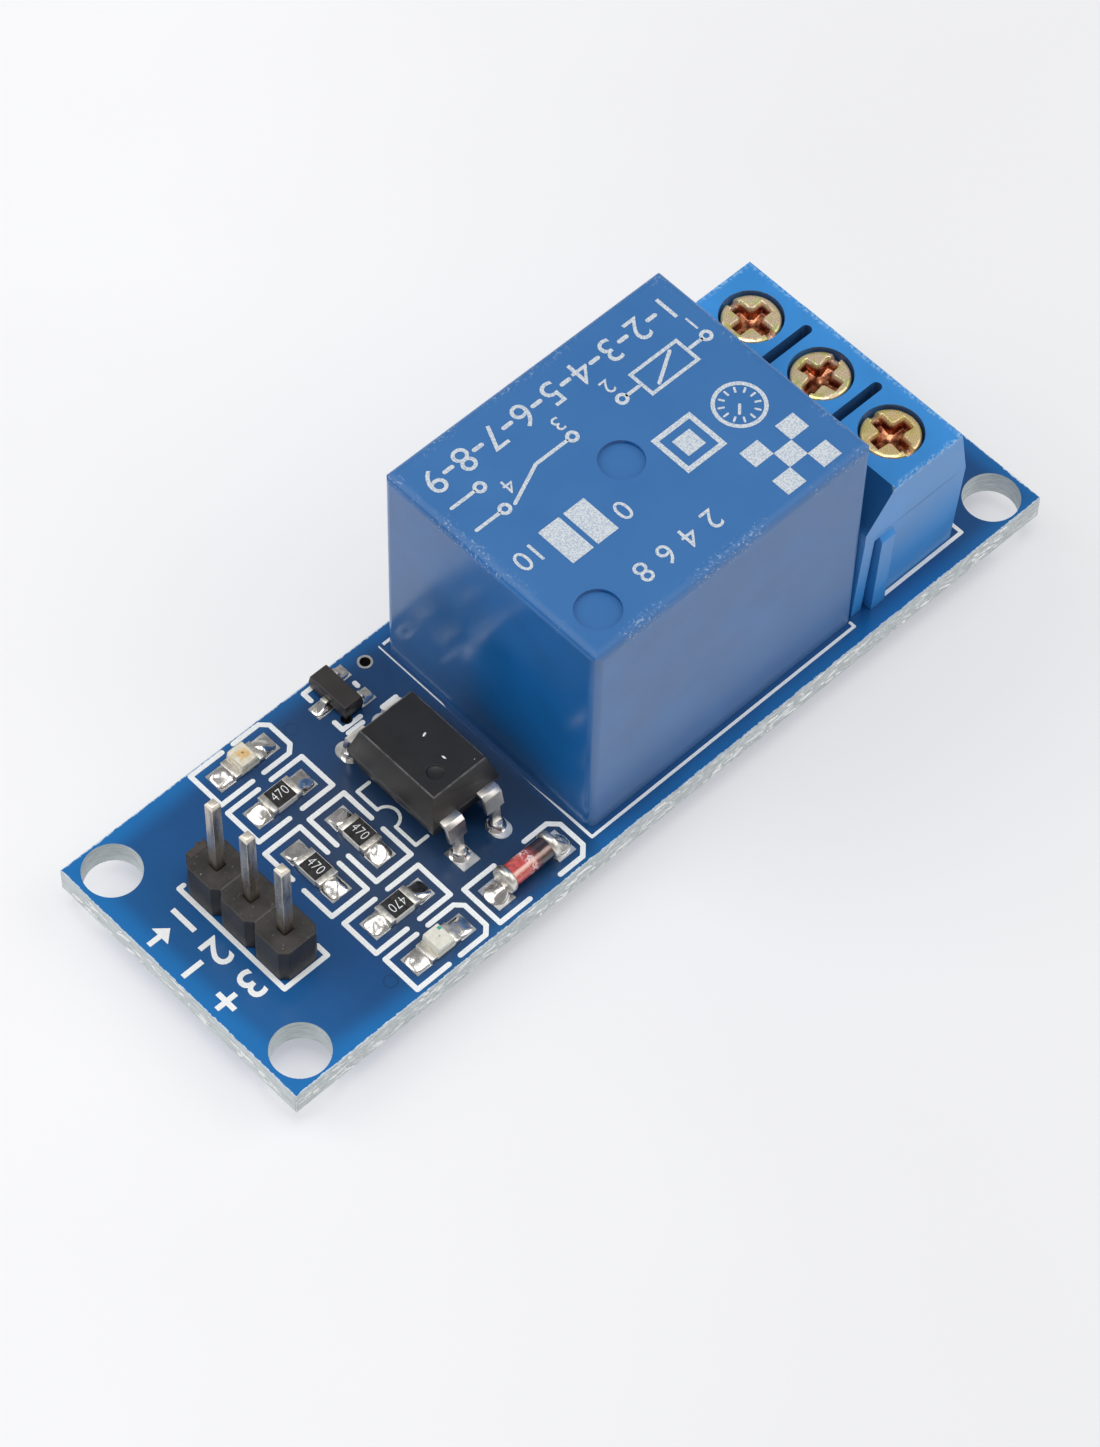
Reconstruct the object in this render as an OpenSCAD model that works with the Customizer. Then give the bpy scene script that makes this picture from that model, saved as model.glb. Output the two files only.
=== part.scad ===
// Single-channel relay module: a printed board that carries a sealed power relay, a
// three-way screw terminal, an optocoupler, a driver transistor, two indicator lamps,
// four chip resistors, a glass diode and a three-pin header.
//
// Origin: centre of the four mounting holes, on the underside of the board.
// +X runs along the board to the screw terminal, +Z points to the component side.
// All sizes are in millimetres. The relay and the screw terminal are complete inside:
// the relay's armature swings, and each terminal screw lifts its own clamp cage.

/* [Board] */
// Length of the board
board_l = 53.34; // [53:0.01:56]
// Width of the board
board_w = 17.78; // [17.6:0.01:19]
// Thickness of the board
board_t = 1.6; // [1.2:0.1:2]
// Diameter of the mounting holes
mount_hole_d = 3.2; // [2.5:0.1:3.2]
// Distance between mounting holes along the board
mount_pitch_x = 49.5; // [49.2:0.1:49.8]
// Distance between mounting holes across the board
mount_pitch_y = 14.2; // [13.9:0.1:14.3]

/* [Relay] */
// Length of the relay case
relay_l = 19.1; // [19.0:0.05:19.2]
// Width of the relay case
relay_w = 15.3; // [15.2:0.1:15.6]
// Height of the relay case
relay_h = 15.3; // [15.2:0.1:16]
// Wall of the relay case
relay_wall = 0.8; // [0.6:0.1:0.8]
// Angle by which the armature stands open at rest
armature_tilt = 2.6; // [2:0.1:2.8]

/* [Screw terminal] */
// Distance between the terminal's ways
way_pitch = 5.08; // [5.0:0.01:5.2]
// Height of the terminal's housing
block_h = 10.05; // [9.9:0.05:10.4]
// Depth of the terminal's housing, from the relay to the wire entries
block_d = 7.5; // [7.4:0.1:8]
// Diameter of the screw heads
screw_head_d = 3.2; // [2.9:0.1:3.3]
// Diameter of the screw thread
screw_d = 2.5; // [2.2:0.1:2.6]
// Height that a cage lies above its lowest place
cage_lift = 0; // [0:0.1:2]

/* [Header] */
// Distance between the header pins
pin_pitch = 2.54; // [2.5:0.01:2.6]
// Side of a square header pin
pin_side = 0.6; // [0.5:0.01:0.66]
// Height of the header pins above the board
pin_rise = 8.2; // [6:0.1:9]
// Height of the header's black housing
header_h = 2.55; // [2:0.05:3]

/* [Optocoupler] */
// Body size along the board
opto_l = 4.6; // [4.4:0.1:4.8]
// Body size across the board
opto_w = 6.5; // [6.2:0.1:6.6]
// Height of the body's top above the board
opto_top = 4.3; // [4:0.1:4.8]
// Distance between the two rows of pins
opto_row_gap = 8.2; // [8:0.1:8.6]

/* [Chip parts] */
// Length of a chip resistor
chip_l = 2.0; // [1.9:0.05:2.1]
// Width of a chip resistor
chip_w = 1.25; // [1.1:0.05:1.3]
// Height of a chip resistor
chip_h = 0.5; // [0.4:0.05:0.6]
// Length of the glass diode
diode_l = 3.5; // [3.3:0.1:3.6]
// Diameter of the glass diode's caps
diode_d = 1.55; // [1.4:0.05:1.6]

/* [Soldering] */
// Length of pin that stands out under the board
tail = 1.5; // [1.2:0.1:2]
// Height of a solder cone under the board
cone_h = 1.0; // [0.6:0.1:1.1]

/* [Hidden] */
$fn = 48;
eps = 0.01;              // overshoot of a cutting tool
board_top = board_t;

// ---- where the parts stand on the board, as [x, y] of their centres ----
header_at = [-21.57, 0];
lamp_1_at = [-15.64, 7.46];
lamp_2_at = [-15.67, -7.32];
resistor_at = [[-15.71, 4.5], [-17.28, 0.05], [-14.27, 0.05], [-15.77, -4.38]];
resistor_turn = [0, 90, 90, 180];
diode_at = [-9.42, -7.16];
transistor_at = [-9.47, 7.16];
opto_at = [-9.99, -0.04];
relay_at = [4.1, 0.08];
block_x = 13.68;         // relay side of the screw terminal
block_y = -0.05;         // middle way of the screw terminal
screw_x = 18.0;          // axis line of the terminal screws
via_at = [-6.87, 7.8];   // open hole with a bare ring
covered_via_at = [-9.97, 5.85]; // open hole with lacquer up to its rim

// ---- copper, solder and print ----
land_t = 0.04;           // copper and tin of a land
seat_z = board_top + land_t; // underside of a surface-mounted part
legend_t = 0.03;
stroke_w = 0.28;         // ordinary legend line
fine_w = 0.17;           // legend line around the relay
terminal_line_w = 0.22;
chip_land = [1.0, 1.3];
chip_land_x = 1.5;       // centre of a chip's land from the chip's centre
diode_land = [1.15, 1.6];
diode_land_x = 2.1;
lead_land = [1.0, 0.9];
via_d = 0.6;
via_land_d = 0.85;

// ---- header ----
header_pins = 3;
header_chamfer = 0.4;
header_hole_d = 1.0;
header_land_d = 1.7;
pin_tip = 0.18;          // length of a pin's tapered tip
pin_tip_side = 0.42;     // flat left at the tip

// ---- chip resistors ----
coat_t = 0.06;           // glass coat over the element

// ---- lamps ----
lamp_l = 2.0;
lamp_w = 1.25;
lamp_base_h = 0.3;
lamp_lens_l = 1.2;
lamp_lens_h = 0.5;
end_l = 0.38;            // plated end of a chip part

// ---- transistor ----
tr_l = 2.9;
tr_w = 1.3;
tr_h = 1.0;
tr_gap = 0.08;           // air under the body
tr_lead_w = 0.42;
tr_lead_t = 0.12;
tr_lead_pitch = 0.95;
tr_reach = 1.25;         // tip of a lead from the body's centre line

// ---- glass diode ----
diode_axis_z = seat_z + diode_d / 2;
diode_cap_l = 0.5;
glass_d = 1.28;

// ---- optocoupler ----
opto_gap = 0.7;          // air under the body
opto_pitch = 2.54;
opto_lead_t = 0.25;
opto_shoulder_w = 1.15;
opto_pin_w = 0.58;
opto_hole_d = 0.85;
opto_draft = 0.5;        // how far the top and bottom are drawn in
opto_root = 0.4;         // part of a lead that is held in the body
opto_land = [1.15, 1.5];
opto_land_shift = 0.18;  // land's centre beyond its hole

// ---- relay, in its own frame: centre of the case, on the board ----
base_clear = 0.05;
base_z = 0.4;
base_t = 1.5;
case_edge_r = 0.5;
dimple_d = 2.45;
dimple_depth = 0.25;
dimples = [[-0.3, 0.2], [-7.4, -5.5]];
yoke_t = 1.1;
yoke_x = -8.05;          // outer face of the yoke's upright
yoke_w = 8.4;
yoke_foot_z = 2.2;
hinge_z = 10.9;          // upper outer edge of the yoke, which the armature rocks on
hinge_x = yoke_x;
coil_x = -1.6;
core_d = 4;
pole_d = 6.6;
pole_h = 0.5;
bobbin_wall = 0.55;
flange_t = 0.7;
flange_w = 10.4;
winding_d = 9.7;
armature_t = 1.2;
armature_end = 3.2;
spring_t = 0.15;
spring_leg = 5;          // part of the leaf that hangs behind the yoke
spring_gap = 0.25;
contact_x = 6.0;
contact_d = 2.4;
contact_h = 0.3;
contact_gap = 0.04;
rivets_x = [4.2, 8.2];   // rivets of the leaf, from the hinge
rivet_d = 1.2;
spigot_d = 3;            // end of the core, riveted into the yoke
blade_t = 0.35;
blade_x = 7.9;           // inner face of the two fixed blades
pin_row_x = 6.7;         // pins of the two fixed contacts
pin_row_y = 6;
coil_pin_x = -5.5;
coil_pin_d = 0.65;
common_pin_x = yoke_x + yoke_t / 2;
flat_pin = [0.5, 1.0];
flat_pin_hole_d = 1.3;
coil_hole_d = 1.0;

// ---- screw terminal, heights above the board ----
ways = 3;
end_skin = 0.11;         // housing beyond the last way, at the parting line
block_l = ways * way_pitch + 2 * end_skin;
shoulder_z = 7.6;        // where the relay side starts to slope
brow_z = 6.7;            // parting line, above which the wire side slopes
end_draft = 0.35;        // how far the end walls lean in from there to the board
relay_slope = 1.9;
wire_slope = 0.65;
well_d = 3.5;
head_sink = 0.1;         // screw head below the housing's top
head_h = 1.25;
head_dome = 0.15;        // rounded part of the head's height
head_round = 0.35;       // and its run inwards from the rim
screw_turns = [84, 10, 90]; // how each screw's slot came to rest
shelf_t = 0.7;           // housing under the screw head
cavity_w = 4.0;
cavity_back = 1.4;       // housing wall towards the relay
cavity_front = 0.85;     // housing wall at the wire entries
cage_w = 3.8;
cage_l = 4.5;
cage_floor = 0.55;
cage_window = 2.9;
cage_top = 0.85;
cage_side = 0.5;
cage_z = 1.15;           // underside of a cage in its lowest place
cage_travel = 2.0;       // lift over the whole travel of the screw
screw_play = 0.05;       // radial play of the screw in the cage's thread
tongue_t = 0.6;
tongue_z = cage_z + cage_floor + cage_travel + 0.1;
tongue_w = 2.6;
strip_t = 0.5;
strip_z = 0.15;
strip_pin = [1.0, 0.8];
strip_hole_d = 1.4;
entry_w = 3.5;
entry_z = [1.0, 4.8];    // floor and roof of a wire entry
entry_rim = 0.35;        // frame sunk around a wire entry
slot_w = 0.6;
slot_depth = 2.2;
slot_end_x = 19.8;
rib_top = 6.5;
rib_roof = 0.35;         // height of a rib's sloping roof
rib_reach = 0.22;        // rib beyond the parting line
rib_lean = 0.2;          // how far a rib leans in towards the board
near_rib_span = [1.12, 2.12]; // distances from the relay side
groove_span = [0.75, 1.12];
groove_depth = 0.68;
far_rib_span = [0.78, 1.09]; // fits the groove of the next block
strip_pin_x = block_x + block_d / 2;
screw_top = block_h - head_sink;
shelf_z = screw_top - head_h - shelf_t;

// ======================= small tools =======================

// One legend line through the points, with round ends.
module stroke(points, width) {
    for (point = points)
        translate(point) circle(d = width);
    for (i = [0 : len(points) - 2])
        stroke_side(points[i], points[i + 1], width);
}

module stroke_side(from, to, width) {
    step = to - from;
    translate(from)
        rotate(atan2(step.y, step.x))
            translate([0, -width / 2])
                square([norm(step), width]);
}

// A block whose upright edges are rounded.
module rounded_plate(size, r) {
    linear_extrude(size.z)
        rounded_outline([size.x, size.y], r);
}

module rounded_outline(size, r) {
    square([size.x - 2 * r, size.y], center = true);
    square([size.x, size.y - 2 * r], center = true);
    for (sx = [-1, 1], sy = [-1, 1])
        translate([sx * (size.x / 2 - r), sy * (size.y / 2 - r)])
            circle(r);
}

// A square bar along Z with tapered tips at both ends, from z = 0 up.
module tipped_pin(side, length, tip, tip_side) {
    intersection() {
        tipped_slab(side, length, tip, tip_side);
        rotate(90) tipped_slab(side, length, tip, tip_side);
    }
}

module tipped_slab(side, length, tip, tip_side) {
    translate([0, side / 2, 0])
        rotate([90, 0, 0])
            linear_extrude(side)
                polygon([
                    [-tip_side / 2, 0], [tip_side / 2, 0],
                    [side / 2, tip], [side / 2, length - tip],
                    [tip_side / 2, length], [-tip_side / 2, length],
                    [-side / 2, length - tip], [-side / 2, tip]
                ]);
}

// Solder cone that hangs under the board around a pin, with a hollow flank.
module solder_cone(foot_r, neck_r, height) {
    flank_steps = 5;
    flank = [for (i = [0 : flank_steps])
        let (t = i / flank_steps)
        [neck_r + (foot_r - neck_r) * pow(1 - t, 2), -height * t]];
    rotate_extrude()
        polygon(concat([[0, -height], [0, 0]], flank));
}

// Places its children at a point of the board's component side.
module on_board(place, z = board_top) {
    translate([place.x, place.y, z]) children();
}

// ======================= places of the pins =======================

function header_pin_at(i) = header_at + [0, (i - (header_pins - 1) / 2) * pin_pitch];
function way_y(i) = block_y + (i - (ways - 1) / 2) * way_pitch;
function strip_pin_at(i) = [strip_pin_x, way_y(i)];

opto_pins = [for (sx = [-1, 1], sy = [-1, 1])
    opto_at + [sx * opto_pitch / 2, sy * opto_row_gap / 2]];
relay_flat_pins = [
    relay_at + [common_pin_x, 0],
    relay_at + [pin_row_x, pin_row_y],
    relay_at + [pin_row_x, -pin_row_y]
];
relay_coil_pins = [for (side = [-1, 1]) relay_at + [coil_pin_x, side * pin_row_y]];

// ======================= board =======================

module circuit_board() {
    color("royalblue")
        difference() {
            translate([-board_l / 2, -board_w / 2, 0])
                cube([board_l, board_w, board_t]);
            for (sx = [-1, 1], sy = [-1, 1])
                drill([sx * mount_pitch_x, sy * mount_pitch_y] / 2, mount_hole_d);
            for (i = [0 : header_pins - 1])
                drill(header_pin_at(i), header_hole_d);
            for (place = opto_pins)
                drill(place, opto_hole_d);
            for (place = relay_flat_pins)
                drill(place, flat_pin_hole_d);
            for (place = relay_coil_pins)
                drill(place, coil_hole_d);
            for (i = [0 : ways - 1])
                drill(strip_pin_at(i), strip_hole_d);
            drill(via_at, via_d);
            drill(covered_via_at, via_d);
        }
}

module drill(place, d) {
    translate([place.x, place.y, -eps])
        cylinder(d = d, h = board_t + 2 * eps);
}

module copper_lands() {
    color("silver") {
        for (place = [lamp_1_at, lamp_2_at])
            on_board(place) land_pair(chip_land, chip_land_x);
        for (i = [0 : 3])
            on_board(resistor_at[i]) rotate(resistor_turn[i]) land_pair(chip_land, chip_land_x);
        on_board(diode_at) land_pair(diode_land, diode_land_x);
        on_board(transistor_at) transistor_lands();
        on_board(via_at) ring(via_land_d, via_d);
        for (i = [0 : header_pins - 1]) {
            translate([header_pin_at(i).x, header_pin_at(i).y, -land_t])
                ring(header_land_d, header_hole_d);
        }
        for (place = opto_pins, z = [-land_t, board_top])
            on_board(place, z)
                mirror([0, place.y < opto_at.y ? 1 : 0, 0])
                    opto_pad(place == opto_pins[0]);
        for (place = relay_flat_pins)
            translate([place.x, place.y, -land_t]) ring(3.2, flat_pin_hole_d);
        for (place = relay_coil_pins)
            translate([place.x, place.y, -land_t]) ring(2.2, coil_hole_d);
        for (i = [0 : ways - 1])
            translate([strip_pin_at(i).x, strip_pin_at(i).y, -land_t])
                ring(3.0, strip_hole_d);
    }
}

module land_pair(size, x) {
    for (side = [-1, 1])
        translate([side * x - size.x / 2, -size.y / 2, 0])
            cube([size.x, size.y, land_t]);
}

module transistor_lands() {
    for (place = transistor_feet())
        translate([place.x - lead_land.x / 2, place.y - lead_land.y / 2, 0])
            cube([lead_land.x, lead_land.y, land_t]);
}

function transistor_feet() = [
    [-tr_reach + 0.2, 0], [tr_reach - 0.2, tr_lead_pitch], [tr_reach - 0.2, -tr_lead_pitch]
];

module ring(outer_d, inner_d) {
    difference() {
        cylinder(d = outer_d, h = land_t);
        translate([0, 0, -eps]) cylinder(d = inner_d, h = land_t + 2 * eps);
    }
}

// Land that reaches outwards from its hole; the first pin's has square corners.
module opto_pad(square_corners) {
    difference() {
        translate([0, opto_land_shift, 0])
            if (square_corners)
                translate([-opto_land.x / 2, -opto_land.y / 2, 0])
                    cube([opto_land.x, opto_land.y, land_t]);
            else
                oval_plate(opto_land);
        translate([0, 0, -eps]) cylinder(d = opto_hole_d, h = land_t + 2 * eps);
    }
}

// A plate with fully rounded ends, along Y.
module oval_plate(size) {
    straight = size.y - size.x;
    translate([-size.x / 2, -straight / 2, 0]) cube([size.x, straight, land_t]);
    for (side = [-1, 1])
        translate([0, side * straight / 2, 0]) cylinder(d = size.x, h = land_t);
}

// ======================= printed legend =======================

module legend() {
    color("white")
        translate([0, 0, board_top])
            linear_extrude(legend_t)
                difference() {
                    legend_lines();
                    translate(covered_via_at) circle(d = via_d + 0.12);
                }
}

module legend_lines() {
    chip_mark = [5.05, 2.38];
    for (place = [lamp_1_at, lamp_2_at])
        translate(place) part_mark(chip_mark, 0.78, 0.4);
    for (i = [0 : 3])
        translate(resistor_at[i]) rotate(resistor_turn[i]) part_mark(chip_mark, 0.88, 0);
    translate(diode_at) part_mark([6.24, 2.66], 2.12, 0.5);
    translate(header_at) header_mark();
    translate(opto_at) opto_mark();
    translate(transistor_at) transistor_mark();
    translate(relay_at) relay_mark();
    terminal_mark();
}

// Two brackets that face each other around a part; chamfered corners mark its cathode.
module part_mark(size, gap, chamfer) {
    x = size.x / 2;
    y = size.y / 2;
    stroke([[-gap / 2, y], [-x, y], [-x, -y], [-gap / 2, -y]], stroke_w);
    if (chamfer > 0)
        stroke([[gap / 2, y], [x - chamfer, y], [x, y - chamfer],
                [x, chamfer - y], [x - chamfer, -y], [gap / 2, -y]], stroke_w);
    else
        stroke([[gap / 2, y], [x, y], [x, -y], [gap / 2, -y]], stroke_w);
}

module header_mark() {
    x = pin_pitch / 2 + 0.16;
    y = header_pins * pin_pitch / 2 + 0.17;
    stroke([[-x + 0.3, y], [-x, y], [-x, -y], [x, -y], [x, -y + 0.75]], stroke_w);
}

// Left side of the optocoupler's frame, with the notch that marks its first pin's end.
module opto_mark() {
    x = opto_l / 2 + 0.24;
    y = 2.2;
    notch_r = 0.7;
    stroke([[-x + 0.8, y], [-x, y], [-x, notch_r]], fine_w + 0.03);
    stroke([[-x + 0.8, -y], [-x, -y], [-x, -notch_r]], fine_w + 0.03);
    translate([-x, 0])
        difference() {
            circle(notch_r + fine_w / 2);
            circle(notch_r - fine_w / 2);
            translate([-2, -1]) square([2, 2]);
        }
    stroke([[-0.48, 5.15], [0.5, 5.15]], stroke_w);
    stroke([[1.9, 5.15], [2.82, 5.15]], stroke_w);
}

module transistor_mark() {
    x = 1.08;
    stroke([[-x, 0.75], [-x, 1.33], [-x + 0.68, 1.33]], stroke_w);
    stroke([[-x, -1.08], [-x, -1.7], [-x + 1.22, -1.7]], stroke_w);
    stroke([[1.32, 0.02], [1.32, -0.2]], stroke_w);
}

module relay_mark() {
    x = relay_l / 2 + 0.2;
    front = -8.05;
    back = 7.9;
    stroke([[9.2, back], [-x, back], [-x, front], [9.3, front], [9.3, front + 0.3]], fine_w);
}

module terminal_mark() {
    right = block_x + block_d + 0.72;
    y = block_l / 2 - end_draft + 0.17;
    front = block_y - y;
    back = block_y + y;
    stroke([[block_x + 2.35, front], [right, front], [right, back], [block_x + 1.4, back]],
           terminal_line_w);
}

// ======================= pin header =======================

module header_housing() {
    color([0.09, 0.09, 0.1])
        difference() {
            on_board(header_at)
                linear_extrude(header_h)
                    for (i = [0 : header_pins - 1])
                        translate([0, (i - (header_pins - 1) / 2) * pin_pitch])
                            chamfered_square(pin_pitch, header_chamfer);
            for (i = [0 : header_pins - 1])
                on_board(header_pin_at(i), board_top - eps)
                    translate([-pin_side / 2, -pin_side / 2, 0])
                        cube([pin_side, pin_side, header_h + 2 * eps]);
        }
}

module chamfered_square(side, c) {
    h = side / 2;
    polygon([[-h + c, -h], [h - c, -h], [h, -h + c], [h, h - c],
             [h - c, h], [-h + c, h], [-h, h - c], [-h, -h + c]]);
}

module header_pin(i) {
    color([0.83, 0.84, 0.86])
        on_board(header_pin_at(i), -tail)
            tipped_pin(pin_side, tail + board_t + pin_rise, pin_tip, pin_tip_side);
}

// ======================= chip resistors =======================

module resistor(i) {
    color([0.93, 0.93, 0.9])
        on_board(resistor_at[i], seat_z)
            rotate(resistor_turn[i])
                translate([end_l - chip_l / 2, -chip_w / 2, 0])
                    cube([chip_l - 2 * end_l, chip_w, chip_h - coat_t]);
}

// All eight plated ends.
module resistor_caps() {
    color([0.8, 0.81, 0.83])
        for (i = [0 : 3], side = [-1, 1])
            on_board(resistor_at[i], seat_z)
                rotate(resistor_turn[i])
                    translate([side * (chip_l - end_l) / 2 - end_l / 2, -chip_w / 2, 0])
                        cube([end_l, chip_w, chip_h]);
}

// The dark glass coat over each resistor's element.
module resistor_coats() {
    color([0.12, 0.12, 0.13])
        for (i = [0 : 3])
            on_board(resistor_at[i], seat_z + chip_h - coat_t)
                rotate(resistor_turn[i])
                    translate([end_l - chip_l / 2, -chip_w / 2 + 0.04, 0])
                        cube([chip_l - 2 * end_l, chip_w - 0.08, coat_t]);
}

// ======================= indicator lamps =======================

module lamp_base(place) {
    color([0.9, 0.88, 0.78])
        on_board(place, seat_z)
            translate([end_l - lamp_l / 2, -lamp_w / 2, 0])
                cube([lamp_l - 2 * end_l, lamp_w, lamp_base_h]);
}

// Moulded lens with sides that lean in.
module lamp_lens(place) {
    lean = 0.1;
    x = lamp_lens_l / 2;
    color([0.95, 0.93, 0.8, 0.6])
        on_board(place, seat_z + lamp_base_h)
            translate([0, lamp_w / 2, 0])
                rotate([90, 0, 0])
                    linear_extrude(lamp_w)
                        polygon([[-x, 0], [x, 0], [x - lean, lamp_lens_h], [lean - x, lamp_lens_h]]);
}

module lamp_ends() {
    color([0.8, 0.81, 0.83])
        for (place = [lamp_1_at, lamp_2_at], side = [-1, 1])
            on_board(place, seat_z)
                translate([side * (lamp_l - end_l) / 2 - end_l / 2, -lamp_w / 2, 0])
                    cube([end_l, lamp_w, lamp_base_h]);
}

// ======================= driver transistor =======================

// Moulded body, drawn in above and below the plane of its leads.
module transistor_body() {
    lean = 0.07;
    color([0.13, 0.13, 0.14])
        on_board(transistor_at, board_top + tr_gap)
            intersection() {
                leaning_prism(tr_w, tr_l, tr_h, lean);
                rotate(90) leaning_prism(tr_l, tr_w, tr_h, lean);
            }
}

// A bar along Y whose cross-section leans in by lean at its top and bottom.
module leaning_prism(w, l, h, lean) {
    translate([0, l / 2, 0])
        rotate([90, 0, 0])
            linear_extrude(l)
                polygon([[lean - w / 2, 0], [w / 2 - lean, 0], [w / 2, h / 2],
                         [w / 2 - lean, h], [lean - w / 2, h], [-w / 2, h / 2]]);
}

// Gull-wing leads: out of the body's side, down, and flat along the land.
module transistor_leads() {
    mid = tr_gap + tr_h / 2;
    foot = seat_z - board_top;
    t = tr_lead_t;
    knee = tr_w / 2 + 0.2;
    color([0.8, 0.81, 0.83])
        for (place = transistor_feet())
            on_board(transistor_at + [0, place.y])
                mirror([place.x < 0 ? 1 : 0, 0, 0])
                    translate([0, tr_lead_w / 2, 0])
                        rotate([90, 0, 0])
                            linear_extrude(tr_lead_w)
                                polygon([
                                    [tr_w / 2, mid - t / 2], [tr_w / 2, mid + t / 2],
                                    [knee + t / 2, mid + t / 2], [knee + 0.18, foot + t],
                                    [tr_reach + 0.15, foot + t], [tr_reach + 0.15, foot],
                                    [knee + 0.04, foot], [knee - t / 2, mid - t / 2]
                                ]);
}

// ======================= glass diode =======================

module along_x(length) {
    translate([-length / 2, 0, 0]) rotate([0, 90, 0]) children();
}

module diode_glass() {
    bore_d = 0.7;
    glass_l = diode_l - 2 * diode_cap_l;
    color([0.65, 0.2, 0.16, 0.7])
        on_board(diode_at, diode_axis_z)
            along_x(glass_l)
                difference() {
                    cylinder(d = glass_d, h = glass_l);
                    translate([0, 0, glass_l / 2 - 0.5]) cylinder(d = bore_d, h = 1);
                }
}

module diode_caps() {
    color([0.85, 0.85, 0.85])
        for (side = [-1, 1])
            on_board(diode_at + [side * (diode_l - diode_cap_l) / 2, 0], diode_axis_z)
                along_x(diode_cap_l)
                    cylinder(d = diode_d, h = diode_cap_l);
}

// The small crystal inside the glass.
module diode_pellet() {
    color([0.3, 0.3, 0.32])
        on_board(diode_at, diode_axis_z)
            cube([0.9, 0.4, 0.4], center = true);
}

// ======================= optocoupler =======================

module opto_body() {
    height = opto_top - opto_gap;
    dimple_at = [-0.7, -1.66];
    color([0.11, 0.11, 0.12])
        on_board(opto_at, board_top + opto_gap)
            difference() {
                intersection() {
                    leaning_prism(opto_l, opto_w, height, opto_draft);
                    rotate(90) leaning_prism(opto_w, opto_l, height, opto_draft);
                }
                translate([dimple_at.x, dimple_at.y, height - 0.08])
                    cylinder(d = 0.85, h = 0.2);
                for (turn = [0, 180], side = [-1, 1])
                    rotate(turn)
                        translate([side * opto_pitch / 2 - opto_shoulder_w / 2,
                                   opto_w / 2 - opto_root, height / 2 - opto_lead_t / 2])
                            cube([opto_shoulder_w, 1, opto_lead_t]);
            }
}

module opto_leads() {
    color([0.78, 0.79, 0.81])
        on_board(opto_at)
            for (turn = [0, 180], side = [-1, 1])
                rotate(turn)
                    translate([side * opto_pitch / 2, 0, 0])
                        opto_lead();
}

// A broad shoulder that bends down, and a narrow leg through the board.
module opto_lead() {
    mid = (opto_top + opto_gap) / 2;
    t = opto_lead_t;
    row = opto_row_gap / 2;
    side_y = opto_w / 2;
    neck = [3.93, 1.45];
    side_profile(opto_shoulder_w)
        polygon([
            [side_y - opto_root, mid - t / 2], [side_y - opto_root, mid + t / 2],
            [side_y + 0.36, mid + t / 2], [side_y + 0.6, mid - 0.06],
            [neck.x + t / 2, neck.y], [neck.x - t / 2, neck.y],
            [side_y + 0.3, mid - t / 2]
        ]);
    side_profile(opto_pin_w)
        polygon([
            [neck.x - t / 2, neck.y + eps], [neck.x + t / 2, neck.y + eps],
            [row + t / 2, 0], [row + t / 2, -board_t - tail],
            [row - t / 2, -board_t - tail], [row - t / 2, 0]
        ]);
}

// Extrudes a Y-Z profile along X, centred on x = 0.
module side_profile(width) {
    translate([-width / 2, 0, 0])
        rotate([90, 0, 90])
            linear_extrude(width)
                children();
}

// ======================= relay =======================

module in_relay() {
    translate([relay_at.x, relay_at.y, board_top]) children();
}

// Deep-drawn cover: five walls with rounded edges, open below.
module relay_case() {
    inner = [relay_l - 2 * relay_wall, relay_w - 2 * relay_wall, relay_h - relay_wall];
    color([0.24, 0.42, 0.66])
        in_relay()
            difference() {
                intersection() {
                    rounded_plate([relay_l, relay_w, relay_h], case_edge_r);
                    top_rounded_bar(relay_l, relay_w, relay_h, case_edge_r);
                    rotate(90) top_rounded_bar(relay_w, relay_l, relay_h, case_edge_r);
                }
                translate([-inner.x / 2, -inner.y / 2, -eps])
                    cube(inner + [0, 0, eps]);
                for (place = dimples)
                    translate([place.x, place.y, relay_h - dimple_depth])
                        cylinder(d = dimple_d, h = 1);
            }
}

// A bar along Y, w wide, with its two upper edges rounded.
module top_rounded_bar(w, l, h, r) {
    translate([0, l / 2, 0])
        rotate([90, 0, 0])
            linear_extrude(l) {
                translate([-w / 2, 0]) square([w, h - r]);
                translate([r - w / 2, 0]) square([w - 2 * r, h]);
                for (side = [-1, 1])
                    translate([side * (w / 2 - r), h - r]) circle(r);
            }
}

// Moulded base with the pins' slots and a wall between the coil and the contacts.
module relay_base() {
    size = [relay_l - 2 * relay_wall - 2 * base_clear, relay_w - 2 * relay_wall - 2 * base_clear];
    barrier = [0.7, 9, 5.5];
    color([0.2, 0.36, 0.6])
        in_relay()
            difference() {
                union() {
                    translate([-size.x / 2, -size.y / 2, base_z])
                        cube([size.x, size.y, base_t]);
                    translate([4.1, -barrier.y / 2, base_z])
                        cube([barrier.x, barrier.y, base_t + barrier.z]);
                }
                flat_pin_slot([common_pin_x, 0], yoke_t);
                for (side = [-1, 1]) {
                    flat_pin_slot([pin_row_x, side * pin_row_y], flat_pin.x);
                    translate([coil_pin_x, side * pin_row_y, 0])
                        cylinder(d = coil_pin_d, h = 5);
                }
            }
}

// Slot in the base for a flat pin, as wide as the pin is thick.
module flat_pin_slot(place, thick) {
    translate([place.x - thick / 2, place.y - flat_pin.y / 2, 0])
        cube([thick, flat_pin.y, 5]);
}

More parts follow.
